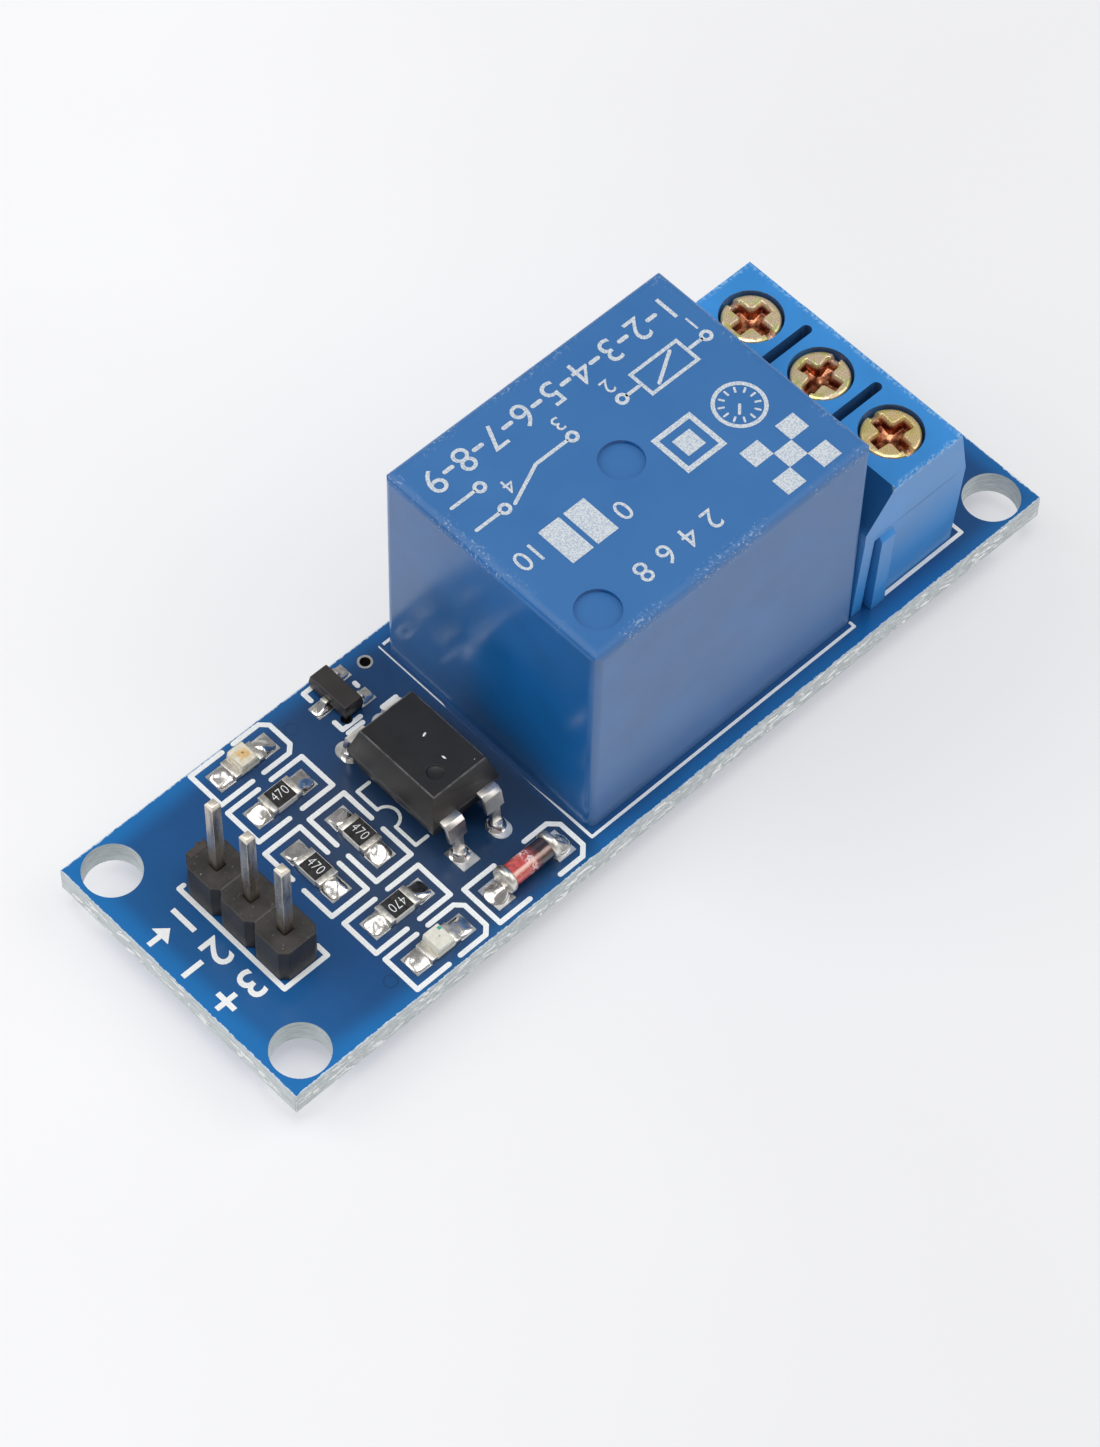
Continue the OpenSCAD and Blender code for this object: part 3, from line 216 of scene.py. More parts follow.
class Finish:
    """A material under construction: lengths in millimetres, every node from node()."""

    def __init__(self, name):
        self.material = bpy.data.materials.new(name)
        self.material.use_nodes = True
        self.tree = self.material.node_tree
        self.tree.nodes.clear()
        self.place = self.node("ShaderNodeTexCoord", output="Object")
        facing = Link(self, self.place.socket.node.outputs["Normal"])
        scale = {0: self.place, "Scale": 1 / MM}
        in_mm = self.node("ShaderNodeVectorMath", {"operation": "SCALE"}, scale)
        self.x, self.y, self.z = self.parts(in_mm)
        self.facing_x, self.facing_y, self.facing_z = self.parts(facing)

    def node(self, kind, settings=None, inputs=None, output=0):
        """Adds a node: settings first, then the values or links of its sockets."""
        made = self.tree.nodes.new(kind)
        for key, value in (settings or {}).items():
            if key == "stops":
                self.set_stops(made.color_ramp.elements, value)
            else:
                setattr(made, key, value)
        for key, value in (inputs or {}).items():
            if isinstance(value, Link):
                self.tree.links.new(value.socket, made.inputs[key])
            else:
                made.inputs[key].default_value = value
        return Link(self, made.outputs[output]) if made.outputs else None

    def set_stops(self, elements, stops):
        while len(elements) < len(stops):
            elements.new(0.5)
        for element, (position, colour) in zip(elements, stops):
            element.position = position
            element.color = (*colour, 1.0)

    def parts(self, vector):
        split = self.node("ShaderNodeSeparateXYZ", None, {0: vector}).socket.node
        return [Link(self, output) for output in split.outputs]

    def grain(self, size, detail=2.0, roughness=0.5, stretch=None):
        """Noise from 0 to 1 whose lumps measure about size."""
        place = self.place
        if stretch:
            place = self.node("ShaderNodeMapping", None, {"Vector": place, "Scale": stretch})
        scale = 1 / (size * MM)
        inputs = {"Vector": place, "Scale": scale, "Detail": detail, "Roughness": roughness}
        return self.node("ShaderNodeTexNoise", None, inputs)

    def distance(self, centre):
        """Distance from an upright line through a point of the board's plan."""
        x = self.x - centre[0]
        y = self.y - centre[1]
        return (x * x + y * y) ** 0.5

    def inset(self, low, high):
        """Distance, in plan, from the nearest side of a box."""
        across = (self.x - low.x).least(high.x - self.x)
        along = (self.y - low.y).least(high.y - self.y)
        return across.least(along)

    def blend(self, factor, first, second):
        """Colour mix. Colours are triples or links."""
        inputs = {0: factor, 6: self.colour(first), 7: self.colour(second)}
        return self.node("ShaderNodeMix", {"data_type": "RGBA"}, inputs, 2)

    def blend_reliefs(self, factor, first, second):
        inputs = {0: factor, 4: first, 5: second}
        return self.node("ShaderNodeMix", {"data_type": "VECTOR"}, inputs, 1)

    def colour(self, value):
        return value if isinstance(value, Link) else (*value, 1.0)

    def ramp(self, factor, stops):
        return self.node("ShaderNodeValToRGB", {"stops": stops}, {0: factor})

    def shades(self, factor, colour, darker, lighter):
        """A colour between two depths, each given as its stop and its share of the colour."""
        return self.ramp(factor, [
            (stop, [min(1.0, part * share) for part in colour]) for stop, share in (darker, lighter)
        ])

    def relief(self, height, depth, under=None):
        """A bump whose height of 1 stands depth proud, over the bump under it."""
        inputs = {"Height": height, "Distance": depth * MM}
        if under:
            inputs["Normal"] = under
        return self.node("ShaderNodeBump", None, inputs)

    def surface(self, colour, roughness, metallic=0.0, normal=None, fixed=None):
        inputs = {"Base Color": self.colour(colour), "Roughness": roughness, "Metallic": metallic}
        if normal:
            inputs["Normal"] = normal
        return self.node("ShaderNodeBsdfPrincipled", None, {**inputs, **(fixed or {})})

    def done(self, surface):
        self.node("ShaderNodeOutputMaterial", None, {"Surface": surface})
        return self.material

    def whole(self, *look):
        """The material, when one surface covers all of the piece."""
        return self.done(self.surface(*look))


# ---------------------------------------------------------------- properties


def colour_of(name, description, value):
    return FloatVectorProperty(
        name=name, description=description, subtype="COLOR", size=3, min=0, max=1, default=value
    )


def length_of(name, description, value):
    return FloatProperty(
        name=name, description=description, unit="LENGTH", min=0.0, default=value
    )


class RelayModuleColours(bpy.types.PropertyGroup):
    """Colours that differ from one maker's boards to the next."""

    mask: colour_of("Solder mask", "Mask over bare laminate", (0.008, 0.165, 0.470))
    mask_copper: colour_of("Mask over copper", "Mask over a copper area", (0.008, 0.066, 0.210))
    laminate: colour_of("Laminate", "Cut edge of the board", (0.60, 0.65, 0.66))
    ink: colour_of("Legend ink", "Printed lines", (0.93, 0.95, 0.95))
    relay: colour_of("Relay case", "Moulded cover of the relay", (0.010, 0.122, 0.370))
    relay_ink: colour_of("Relay print", "Print on the relay's top", (0.55, 0.58, 0.60))
    terminal: colour_of("Terminal", "Housing of the screw terminal", (0.032, 0.245, 0.630))
    black: colour_of("Black plastic", "Header, optocoupler and transistor", (0.012, 0.0115, 0.0115))
    diode: colour_of("Diode glass", "Glass sleeve of the diode", (0.52, 0.075, 0.065))


class RelayModuleSizes(bpy.types.PropertyGroup):
    """Sizes of the finish, as opposed to the sizes of the parts."""

    edge_round: length_of("Header edge round", "Rounding of the header's moulding", 0.08 * MM)
    metal_round: length_of("Metal edge round", "Rounding of stamped and plated edges", 0.035 * MM)
    print_height: length_of("Print height", "Thickness of printed ink", 0.02 * MM)
    round_steps: IntProperty(
        name="Round steps", description="Facets across a rounded edge", min=1, max=6, default=2
    )


def colours():
    return bpy.context.scene.relay_module_colours


def sizes():
    return bpy.context.scene.relay_module_sizes


# ---------------------------------------------------------------- finishes, each made once


@cache
def board_finish():
    """Glossy mask over copper and laminate on the faces, cut glass fibre on the edges."""
    make = Finish("board laminate")
    look = colours()
    low, high = span("circuit_board")
    inset = make.inset(low, high)
    rim = 1 - inset.between(0.0, 1.6)
    pin_end = 1 - (make.x - low.x).between(0.0, 11.0)
    cloud = make.grain(6, 2.0, 0.4)
    bare = (rim * 0.62 + pin_end * 0.42 + (cloud - 0.5) * 0.40).between(0.0, 1.0)
    mask = make.blend(bare, look.mask_copper, look.mask)
    weave = make.grain(0.5, 3.0, 0.6)
    mask = make.blend(weave * 0.22, mask, (0.02, 0.12, 0.34))

    # painted shade among the small parts, darkest by the relay as its painted shadow, and less
    # towards the back edge
    crowded = (make.x + 18.8).between(0.0, 2.5) * (1 - (make.x + 6.4).between(0.0, 1.2))
    shade = crowded * (0.74 + 0.4 * (cloud - 0.5)) * (1 - 0.6 * rim)
    shade = shade * (1 - 0.45 * make.y.between(2.5, 5.5))
    by_relay = (make.x + 13.5).between(0.0, 3.5)
    shadow = make.blend(by_relay, (0.032, 0.054, 0.104), (0.012, 0.030, 0.062))
    mask = make.blend(shade, mask, shadow)

    tent = sum(1 - abs(make.distance(via) - 0.36).between(0.02, 0.09) for via in TENTED_VIAS)
    mask = make.blend(tent * 0.55, mask, (0.004, 0.050, 0.120))
    scratch = make.grain(0.10, 3.0, 0.7, stretch=(0.12, 0.5, 1.0)).between(0.76, 0.80)
    mask = make.blend(scratch * 0.30, mask, (0.30, 0.45, 0.62))
    chip = make.grain(0.30, 4.0, 0.7)
    chipped = 1 - (inset + 0.26 * (chip - 0.5)).between(0.03, 0.07)
    mask = make.blend(chipped * 0.9, mask, (0.66, 0.76, 0.84))

    # the cut edge, torn along the front, and painted shade in the barrels of the open holes
    fibre = make.grain(0.22, 4.0, 0.7, stretch=(0.25, 0.25, 2.2))
    torn = make.grain(0.5, 3.0, 0.6)
    cut = make.shades(fibre, look.laminate, (0.30, 0.74), (0.62, 1.16))
    sawn = 1 - (make.y - low.y).between(0.03, 0.08)
    flake = make.grain(0.20, 4.0, 0.7, stretch=(0.4, 0.4, 1.0)).between(0.52, 0.62)
    cut = make.blend(flake * sawn * 0.85, cut, PLAINS["torn laminate"][0])
    barrel_shade = sum(1 - make.distance(via).between(0.34, 0.42) for via in OPEN_VIAS)
    cut = make.blend(barrel_shade, cut, (0.006, 0.006, 0.007))

    flat = abs(make.facing_z).between(0.4, 0.6)
    dust = make.grain(0.12, 3.0, 0.7).between(0.70, 0.80)
    roughness = flat * (0.16 + 0.10 * cloud + 0.12 * dust) + (1 - flat) * 0.75
    ripple = make.relief(make.grain(1.3, 1.0), 0.004)
    rough_cut = make.relief((fibre + torn) * (0.25 + 0.75 * sawn), 0.10)
    normal = make.blend_reliefs(flat, rough_cut, ripple)
    return make.whole(make.blend(flat, cut, mask), roughness, 0.0, normal)


@cache
def ink_finish(which):
    """Screen-printed ink: near-solid on the board, coarse and gappy on the relay."""
    make = Finish(f"{which} ink")
    if which == "relay":
        base, size = colours().relay_ink, 0.10
        wear_and_highlight = [0.55 * c + 0.45 * blue for c, blue in zip(base, (0.10, 0.26, 0.52))]
        bright = [min(1.0, c * 1.22) for c in base]
    else:
        base, size = colours().ink, 0.07
        wear_and_highlight = [c * 0.86 for c in base]
        bright = base
    speck = make.grain(size, 4.0, 0.7)
    tone = make.ramp(speck, [(0.38, wear_and_highlight), (0.56, bright)])
    if which == "legend":
        tone = make.blend(thinly_printed(make), tone, colours().mask_copper)
    return make.whole(tone, 0.42 + 0.2 * speck, 0.0, make.relief(speck, 0.01))


def thinly_printed(make):
    """Where the relay's outline takes the mask's colour, along the cover's pin side."""
    low, high = span("relay_case")
    width = 0.17
    outer = low.x - 0.2 - width / 2
    kept = (-make.y).between(2.6, 7.6) + 0.45 * make.y.between(2.8, 3.2)
    beyond = make.x - outer - width * kept
    inside = beyond.between(-0.02, 0.01) * (1 - beyond.between(0.20, 0.22))
    return inside * (make.y + high.y).between(0.1, 0.3)


@cache
def tin_finish(name):
    """Tin or solder: bright metal with broad swells, dull spots and a fine frost."""
    tint, roughness, lump, depth = TINS[name]
    make = Finish(name)
    swell = make.grain(lump, 1.0, 0.4)
    frost = make.grain(0.04, 3.0, 0.6)
    tone = make.shades(swell, tint, (0.36, 0.80), (0.58, 1.0))
    normal = make.relief(frost, 0.0008, make.relief(swell, depth))
    return make.whole(tone, roughness + 0.12 * swell.between(0.50, 0.75), 1.0, normal)


@cache
def metal_finish(name):
    """Drawn or stamped metal with fine lines along its length and dull patches."""
    tint, roughness = METALS[name]
    make = Finish(name)
    lines = make.grain(0.05, 3.0, 0.6, stretch=(1.0, 1.0, 0.06))
    patch = make.grain(0.8, 3.0, 0.6)
    tone = make.shades(patch, tint, (0.30, 0.70), (0.62, 1.0))
    return make.whole(tone, roughness + 0.14 * patch, 1.0, make.relief(lines, 0.0015))


@cache
def plain_finish(name):
    """Small hidden or tiny pieces: a tone that drifts over a fine grain."""
    base, roughness, metallic = PLAINS[name]
    make = Finish(name)
    speck = make.grain(0.15, 3.0, 0.6)
    tone = make.shades(speck, base, (0.3, 0.82), (0.7, 1.1))
    return make.whole(tone, roughness + 0.1 * speck, metallic, make.relief(speck, 0.01))


@cache
def transistor_finish():
    """Transistor: fine eroded moulding, faint tone changes and pale specks."""
    make = Finish("transistor moulding")
    base = [c * warmth for c, warmth in zip(colours().black, (2.6, 2.3, 2.1))]
    darker = [c * 0.86 for c in base]
    lighter = [c * 1.22 + 0.004 for c in base]
    colour = make.ramp(make.grain(2.5, 2.0, 0.5), [(0.30, darker), (0.70, lighter)])
    speck = make.grain(0.06, 3.0, 0.75).between(0.72, 0.80)
    colour = make.blend(speck * 0.20, colour, [c + 0.22 for c in base])
    shine = make.grain(0.9, 3.0, 0.6)
    normal = make.relief(make.grain(0.07, 3.0, 0.65), 0.008)
    return make.whole(colour, 0.42 + 0.16 * (shine - 0.5), 0.0, normal)


@cache
def header_finish():
    """Worn warm-black moulding: a fine line where two units meet, scratches and dust."""
    make = Finish("header moulding")
    base = [c * warmth for c, warmth in zip(colours().black, (3.0, 2.8, 2.6))]
    pitch = abs(span("header_pin_2")[0].y - span("header_pin_1")[0].y)
    from_middle = abs(make.y - middle("header_housing").y / MM)
    joint = 1 - abs(from_middle - pitch / 2).between(0.01, 0.06)
    tone = make.grain(0.9, 3.0, 0.6)
    colour = make.shades(tone, base, (0.34, 0.7), (0.62, 1.25))
    scratch = make.grain(0.09, 3.0, 0.7, stretch=(0.4, 1.0, 1.0)).between(0.66, 0.76)
    colour = make.blend((joint * 0.45).most(scratch * 0.4), colour, (0.16, 0.15, 0.14))
    dust = make.grain(0.13, 2.0, 0.6).between(0.70, 0.74)
    colour = make.blend(dust * 0.7, colour, (0.55, 0.56, 0.56))
    # painted shade: the upright sides darker than the top
    upright = 1 - make.facing_z.between(0.3, 0.7)
    colour = make.blend(upright * 0.60, colour, colours().black)
    erosion = make.grain(0.10, 3.0, 0.6)
    normal = make.relief(erosion - 1.5 * joint, 0.012)
    return make.whole(colour, 0.44 + 0.10 * tone, 0.0, normal)


@cache
def opto_finish():
    """Matt black moulding with painted highlights along its upper and parting edges."""
    make = Finish("optocoupler moulding")
    low, high = span("opto_body")
    draft = 0.5
    # painted highlights along the upper edges and the parting line, broken up by noise
    to_edge = abs(make.inset(low, high) - draft)
    upper = (1 - to_edge.between(0.02, 0.08)) * make.z.between(high.z - 0.12, high.z)
    to_seam = abs(make.z - (low.z + high.z) / 2)
    seam = (1 - to_seam.between(0.02, 0.07)) * 0.75
    wear_and_highlight = upper.most(seam) * make.grain(0.5, 3.0, 0.6).between(0.25, 0.60)
    tone = make.grain(1.5, 3.0, 0.6)
    colour = make.shades(tone, colours().black, (0.3, 0.9), (0.7, 1.3))
    speck = make.grain(0.07, 3.0, 0.75).between(0.71, 0.80)
    # one pale colour for the painted highlights and the real dust specks
    colour = make.blend((wear_and_highlight * 0.32).most(speck * 0.25), colour, (0.42, 0.40, 0.39))
    # painted light: the upright sides a little paler
    upright = 1 - make.facing_z.between(0.4, 0.8)
    colour = make.blend(upright * 0.05, colour, (0.36, 0.33, 0.30))
    normal = make.relief(make.grain(0.09, 3.0, 0.6), 0.008)
    return make.whole(colour, 0.34 + 0.10 * tone, 0.0, normal)


@cache
def relay_finish():
    """Relay cover: polished sides with a painted reflection, eroded matt top, pale scuffs along the
    upper edges.
    """
    make = Finish("relay blue moulding")
    low, high = span("relay_case")
    top = make.facing_z.between(0.55, 0.85)
    front = (-make.facing_y).between(0.5, 0.8)
    left = (-make.facing_x).between(0.5, 0.8)
    tone = make.grain(4, 3.0, 0.5)
    side_blue = make.shades(tone, colours().relay, (0.25, 0.86), (0.75, 1.12))
    top_blue = make.ramp(tone, [(0.25, (0.026, 0.142, 0.388)), (0.75, (0.036, 0.162, 0.418))])
    # painted reflection: the front, and the left side towards the back, paler as the white
    # surroundings mirrored in them
    painted_reflection = 0.120 * front + 0.055 * left * (make.y - low.y).between(6, 15)
    side_blue = make.blend(painted_reflection, side_blue, (0.55, 0.58, 0.55))
    colour = make.blend(top, side_blue, top_blue)

    to_edge = make.inset(low, high) + (high.z - make.z)
    broken = make.grain(0.7, 4.0, 0.65).between(0.36, 0.58)
    edge_line = (1 - to_edge.between(0.06, 0.20)) * broken
    colour = make.blend(edge_line * 0.38, colour, (0.30, 0.42, 0.58))
    patch = make.grain(2.6, 2.0, 0.5).between(0.44, 0.56)
    scratch = make.grain(0.16, 4.0, 0.75).between(0.55, 0.64)
    scuff = (1 - to_edge.between(0.25, 0.85)) * scratch * patch
    dust = make.grain(0.05, 2.0, 0.7).between(0.74, 0.80)
    colour = make.blend((scuff * 0.6).most(dust * 0.25), colour, (0.52, 0.62, 0.74))

    erosion = make.grain(0.055, 3.0, 0.7)
    side_rough = 0.13 + 0.12 * make.grain(2.4, 3.0, 0.6) + 0.20 * front
    roughness = top * (0.40 + 0.08 * erosion) + (1 - top) * side_rough + 0.25 * scuff
    waved = make.relief(make.grain(3.5, 1.0) + 0.05 * erosion, 0.02)
    normal = make.blend_reliefs(top, waved, make.relief(erosion, 0.006))
    return make.whole(colour, roughness, 0.0, normal)


@cache
def terminal_finish():
    """Terminal housing: bright satin blue with a mould line under the brow, painted shade on the
    slope, in the wells and slots and low on the sides, and a painted reflection high on the sides.
    """
    make = Finish("terminal blue moulding")
    low, high = span("terminal_housing")
    base = colours().terminal
    tone = make.grain(3, 2.0, 0.5)
    colour = make.shades(tone, base, (0.25, 0.90), (0.75, 1.10))
    upright = 1 - abs(make.facing_z).between(0.2, 0.5)
    mould_line = BOARD_TOP / MM + 6.75
    crack = 1 - abs(make.z - mould_line).between(0.02, 0.05)
    crack = crack * upright * make.grain(1.2, 3.0, 0.6).between(0.38, 0.60)
    colour = make.blend(crack * 0.55, colour, (0.01, 0.05, 0.16))
    speck = make.grain(0.05, 2.0, 0.7).between(0.75, 0.80)
    colour = make.blend(speck * 0.3, colour, (0.35, 0.60, 0.85))
    # painted shade on the slope that faces the relay
    slope_shade = (-make.facing_x).between(0.3, 0.6) * make.z.between(low.z + 7, low.z + 8)
    colour = make.blend(slope_shade * 0.75, colour, (0.004, 0.030, 0.110))

    from_end = (make.y - low.y).least(high.y - make.y)
    from_front = high.x - make.x
    to_rim = abs((from_end - 0.22).least(from_front - 0.65)) + (high.z - make.z)
    fleck = make.grain(0.22, 4.0, 0.7).between(0.47, 0.58)
    rim = (1 - to_rim.between(0.10, 0.34)) * fleck
    colour = make.blend(rim * 0.5, colour, (0.42, 0.66, 0.88))
    # painted reflection: upright sides paler up high; painted shade: a darker reflection of the
    # board low on them
    upper = upright * make.z.between(low.z + 2, low.z + 8.5)
    colour = make.blend(upper * 0.11, colour, (0.60, 0.68, 0.74))
    colour = make.blend((upright - upper).most(0.0) * 0.35, colour, [c * 0.86 for c in base])

    # painted shade on the inner walls of the wells and slots
    within = (from_front - 1.2).least(make.x - low.x - 2.3).least(from_end - 0.9)
    well_shade = upright * within.between(0.0, 0.1) * make.z.between(high.z - 4.0, high.z - 3.5)
    colour = make.blend(well_shade * 0.62, colour, (0.006, 0.032, 0.100))
    normal = make.relief(make.grain(0.07, 3.0, 0.6) - 6 * crack, 0.005)
    return make.whole(colour, 0.30 + 0.12 * tone, 0.0, normal)


@cache
def screw_finish():
    """Yellow zinc: straw that drifts to pink and green, with painted shade, dark brown, deep in the
    cross recess.
    """
    make = Finish("yellow zinc screw")
    nodes = [f"terminal_screw_{number}" for number in (1, 2, 3)]
    head = span(nodes[0])[1].z
    drift = make.grain(0.75, 2.0, 0.6)
    tint = make.ramp(drift, [
        (0.36, (0.72, 0.70, 0.26)),
        (0.44, (0.90, 0.78, 0.44)),
        (0.50, (0.90, 0.66, 0.54)),
        (0.56, (0.92, 0.82, 0.52)),
        (0.64, (0.66, 0.70, 0.30)),
    ])
    blush = (1 - make.z.between(head - 0.30, head - 0.14)) * 0.8
    tint = make.blend(blush, tint, (0.94, 0.58, 0.52))
    golden = 1 - make.y.between(-3.5, -1.5)
    tint = make.blend(0.15 + 0.35 * golden, tint, (0.95, 0.66, 0.22))
    out = [make.distance(middle(node) / MM) for node in nodes]
    cross = 1 - out[0].least(out[1]).least(out[2]).between(1.18, 1.34)
    # painted shade: the cross recess dark brown and mottled below about 0.4 mm
    deep = cross * (1 - make.z.between(head - 0.40, head - 0.13))
    mottle = make.grain(0.45, 1.0, 0.5)
    recess_shade = make.ramp(mottle, [(0.38, (0.15, 0.038, 0.018)), (0.60, (0.60, 0.25, 0.13))])
    colour = make.blend(deep, tint, recess_shade)
    fine = make.grain(0.05, 3.0, 0.6)
    normal = make.relief(fine, 0.001, make.relief(drift, 0.08))
    roughness = 0.24 - 0.02 * deep + 0.06 * fine
    return make.whole(colour, roughness, 0.60 + 0.34 * deep, normal)


@cache
def pin_finish():
    """Header pin: dull drawn flanks, darker in streaks, and a bright brassy cut tip."""
    make = Finish("header pin")
    top = span("header_pin_1")[1].z
    foot = span("header_housing")[1].z
    tip = make.z.between(top - 0.30, top - 0.16)
    near_housing = 1 - make.z.between(foot, foot + 0.9)
    streak = make.grain(0.35, 2.0, 0.5, stretch=(1.0, 1.0, 0.16))
    flank = make.ramp(streak, [(0.36, (0.36, 0.32, 0.27)), (0.60, (0.70, 0.63, 0.54))])
    # flanks darker towards the housing
    flank = make.blend(near_housing * 0.7, flank, (0.16, 0.12, 0.09))
    colour = make.blend(tip, flank, (0.98, 0.90, 0.78))
    roughness = 0.24 + 0.08 * streak + 0.14 * tip
    return make.whole(colour, roughness, 0.95, make.relief(streak, 0.0012))


@cache
def winding_finish():
    """Enamelled wire laid in close turns around an upright coil."""
    make = Finish("copper winding")
    settings = {"wave_type": "BANDS", "bands_direction": "Z"}
    inputs = {"Vector": make.place, "Scale": 1 / (1.3 * MM), "Distortion": 0.4}
    turns = make.node("ShaderNodeTexWave", settings, inputs)
    tone = make.ramp(turns, [(0.2, (0.28, 0.09, 0.03)), (0.8, (0.78, 0.34, 0.15))])
    return make.whole(tone, 0.32 + 0.1 * turns, 0.9, make.relief(turns, 0.03))


@cache
def ceramic_finish():
    """White alumina with a fired grain."""
    make = Finish("white ceramic")
    speck = make.grain(0.05, 4.0, 0.7)
    tone = make.ramp(speck, [(0.3, (0.66, 0.65, 0.62)), (0.6, (0.86, 0.85, 0.82))])
    return make.whole(tone, 0.5 + 0.2 * speck, 0.0, make.relief(speck, 0.008))


@cache
def coat_finish():
    """Dark glass over the resistor's element."""
    make = Finish("resistor glass coat")
    flow = make.grain(0.35, 2.0, 0.5)
    tone = make.ramp(flow, [(0.3, (0.012, 0.012, 0.013)), (0.7, (0.040, 0.038, 0.036))])
    return make.whole(tone, 0.20 + 0.2 * flow, 0.0, make.relief(flow, 0.02))


@cache
def lens_finish(number):
    """Lamp resin: the first clear over a gilt frame and its crystal, the second milky."""
    make = Finish(f"lamp resin {number}")
    clear = number == 1
    at = middle(f"lamp_{number}_lens") / MM
    cloud = make.grain(0.25, 3.0, 0.6)
    warm = (0.80, 0.70, 0.50) if clear else (0.84, 0.82, 0.70)
    pale = (0.96, 0.92, 0.80) if clear else (0.95, 0.93, 0.84)
    tone = make.ramp(cloud, [(0.35, warm), (0.65, pale)])
    if clear:
        x = make.x - at.x
        y = make.y - at.y
        wander = 0.10 * (cloud - 0.5)
        gilt = make.ramp(cloud, [(0.36, (0.84, 0.50, 0.18)), (0.64, (0.98, 0.80, 0.46))])
        cup = abs(x - 0.04 + wander).most(abs(y + wander))
        tone = make.blend(1 - cup.between(0.27, 0.34), tone, gilt)
        stem = abs(y - 0.30).most(abs(x + 0.42) - 0.16)
        tone = make.blend(0.7 - 0.7 * stem.between(0.02, 0.08), tone, gilt)
    crystal = make.distance((at.x + 0.06, at.y + (0.06 if clear else -0.02)))
    share = (0.85 if clear else 0.45) * (1 - crystal.between(0.04, 0.09))
    tone = make.blend(share, tone, (0.22, 0.11, 0.06))
    fixed = {"Transmission Weight": 0.12, "IOR": 1.5, "Coat Weight": 0.6}
    return make.whole(tone, 0.10 + 0.16 * cloud, 0.0, make.relief(cloud, 0.02), fixed)


@cache
def diode_finish():
    """Glass sleeve: red at one end, fading to smoky glass, with a painted glint of the wire inside
    and a painted highlight along its top.
    """
    make = Finish("diode glass")
    low, high = span("diode_glass")
    centre = (low + high) / 2
    flow = make.grain(0.3, 3.0, 0.6)
    share = (make.x - low.x) / (high.x - low.x) + 0.16 * (flow - 0.5)
    smoke = share.between(0.36, 0.76)
    reds = make.shades(flow, colours().diode, (0.30, 0.7), (0.65, 1.4))
    colour = make.blend(smoke, reds, (0.035, 0.020, 0.020))
    window = share.between(0.34, 0.44) * (1 - share.between(0.52, 0.62))
    glint = flow.between(0.46, 0.52) * (1 - flow.between(0.56, 0.62))
    colour = make.blend(window * glint * 0.8, colour, (0.92, 0.84, 0.82))
    # painted highlight: a pale streak along the top of the glass, fainter on the smoky part
    streak = 1 - abs(make.y - centre.y + 0.30 + 0.15 * flow).between(0.02, 0.16)
    upper = (make.z - centre.z).between(0.0, 0.1)
    colour = make.blend(streak * upper * (1 - 0.5 * smoke) * 0.8, colour, (0.92, 0.56, 0.46))
    fixed = {"IOR": 1.52, "Coat Weight": 1.0}
    return make.whole(colour, 0.07, 0.0, make.relief(flow, 0.006), fixed)


@cache
def floor_finish():
    """Pale studio floor whose shadows are a little fainter when seen than in its light, with
    painted shade greying it towards +X and -Y.
    """
    make = Finish("studio floor")
    tone = make.ramp(
        make.grain(50, 3.0, 0.5), [(0.3, (0.880, 0.882, 0.895)), (0.7, (0.925, 0.925, 0.940))]
    )
    # painted shade: the floor greyer towards +X and -Y, as its light falls off
    falloff_shade = (make.x - make.y).between(-40, 30)
    tone = make.blend(falloff_shade * 0.45, tone, (0.74, 0.74, 0.755))
    glow = make.node("ShaderNodeEmission", None, {"Color": tone, "Strength": 1.07})
    seen = 0
    for ray in ("Is Camera Ray", "Is Glossy Ray", "Is Transmission Ray"):
        seen = make.node("ShaderNodeLightPath", None, None, ray).most(seen)
    inputs = {0: 0.32 + 0.10 * seen, 1: make.surface(tone, 0.9), 2: glow}
    return make.done(make.node("ShaderNodeMixShader", None, inputs))


# ---------------------------------------------------------------- making pieces


def linked(name, data):
    """A new object in the scene."""
    made = bpy.data.objects.new(name, data)
    bpy.context.scene.collection.objects.link(made)
    return made


def new_piece(shapes, name, material, body="module", smooth=35, stand_for=()):
    """Turns a bmesh, or a list of them, into a finished piece that rides on a body."""
    shape = joined(shapes) if isinstance(shapes, list) else shapes
    mesh = bpy.data.meshes.new(name)
    shape.to_mesh(mesh)
    shape.free()
    mesh.materials.append(material)
    piece = linked(name, mesh)
    if smooth:
        mesh.shade_smooth()
        mesh.set_sharp_from_angle(angle=math.radians(smooth))
        weighted = piece.modifiers.new("weighted", "WEIGHTED_NORMAL")
        weighted.keep_sharp = True
    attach(piece, body)
    if stand_for:
        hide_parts(*stand_for)


def softened(node, width, material, steps=None):
    """A copy of a CAD node with its sharp edges rounded; the copy stands for the node."""
    flat = math.radians(0.6)
    sharp_from = math.radians(32)
    shape = bmesh.new()
    shape.from_mesh(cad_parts[node].data)
    bmesh.ops.remove_doubles(shape, verts=shape.verts, dist=0.0005 * MM)
    bmesh.ops.dissolve_limit(shape, angle_limit=flat, verts=shape.verts, edges=shape.edges)
    sharp = [e for e in shape.edges if e.is_manifold and e.calc_face_angle(0) > sharp_from]
    bmesh.ops.bevel(
        shape, geom=sharp, offset=width, segments=steps or sizes().round_steps, profile=0.5,
        affect="EDGES", material=-1, clamp_overlap=True,
    )
    new_piece(shape, node + "_rounded", material, stand_for=(node,))


def paint(node, material):
    """Gives a CAD node, whose shape stays, its finish."""
    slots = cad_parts[node].data.materials
    slots.clear()
    slots.append(material)


def placed(shape, matrix):
    bmesh.ops.transform(shape, matrix=matrix, verts=shape.verts)
    return shape


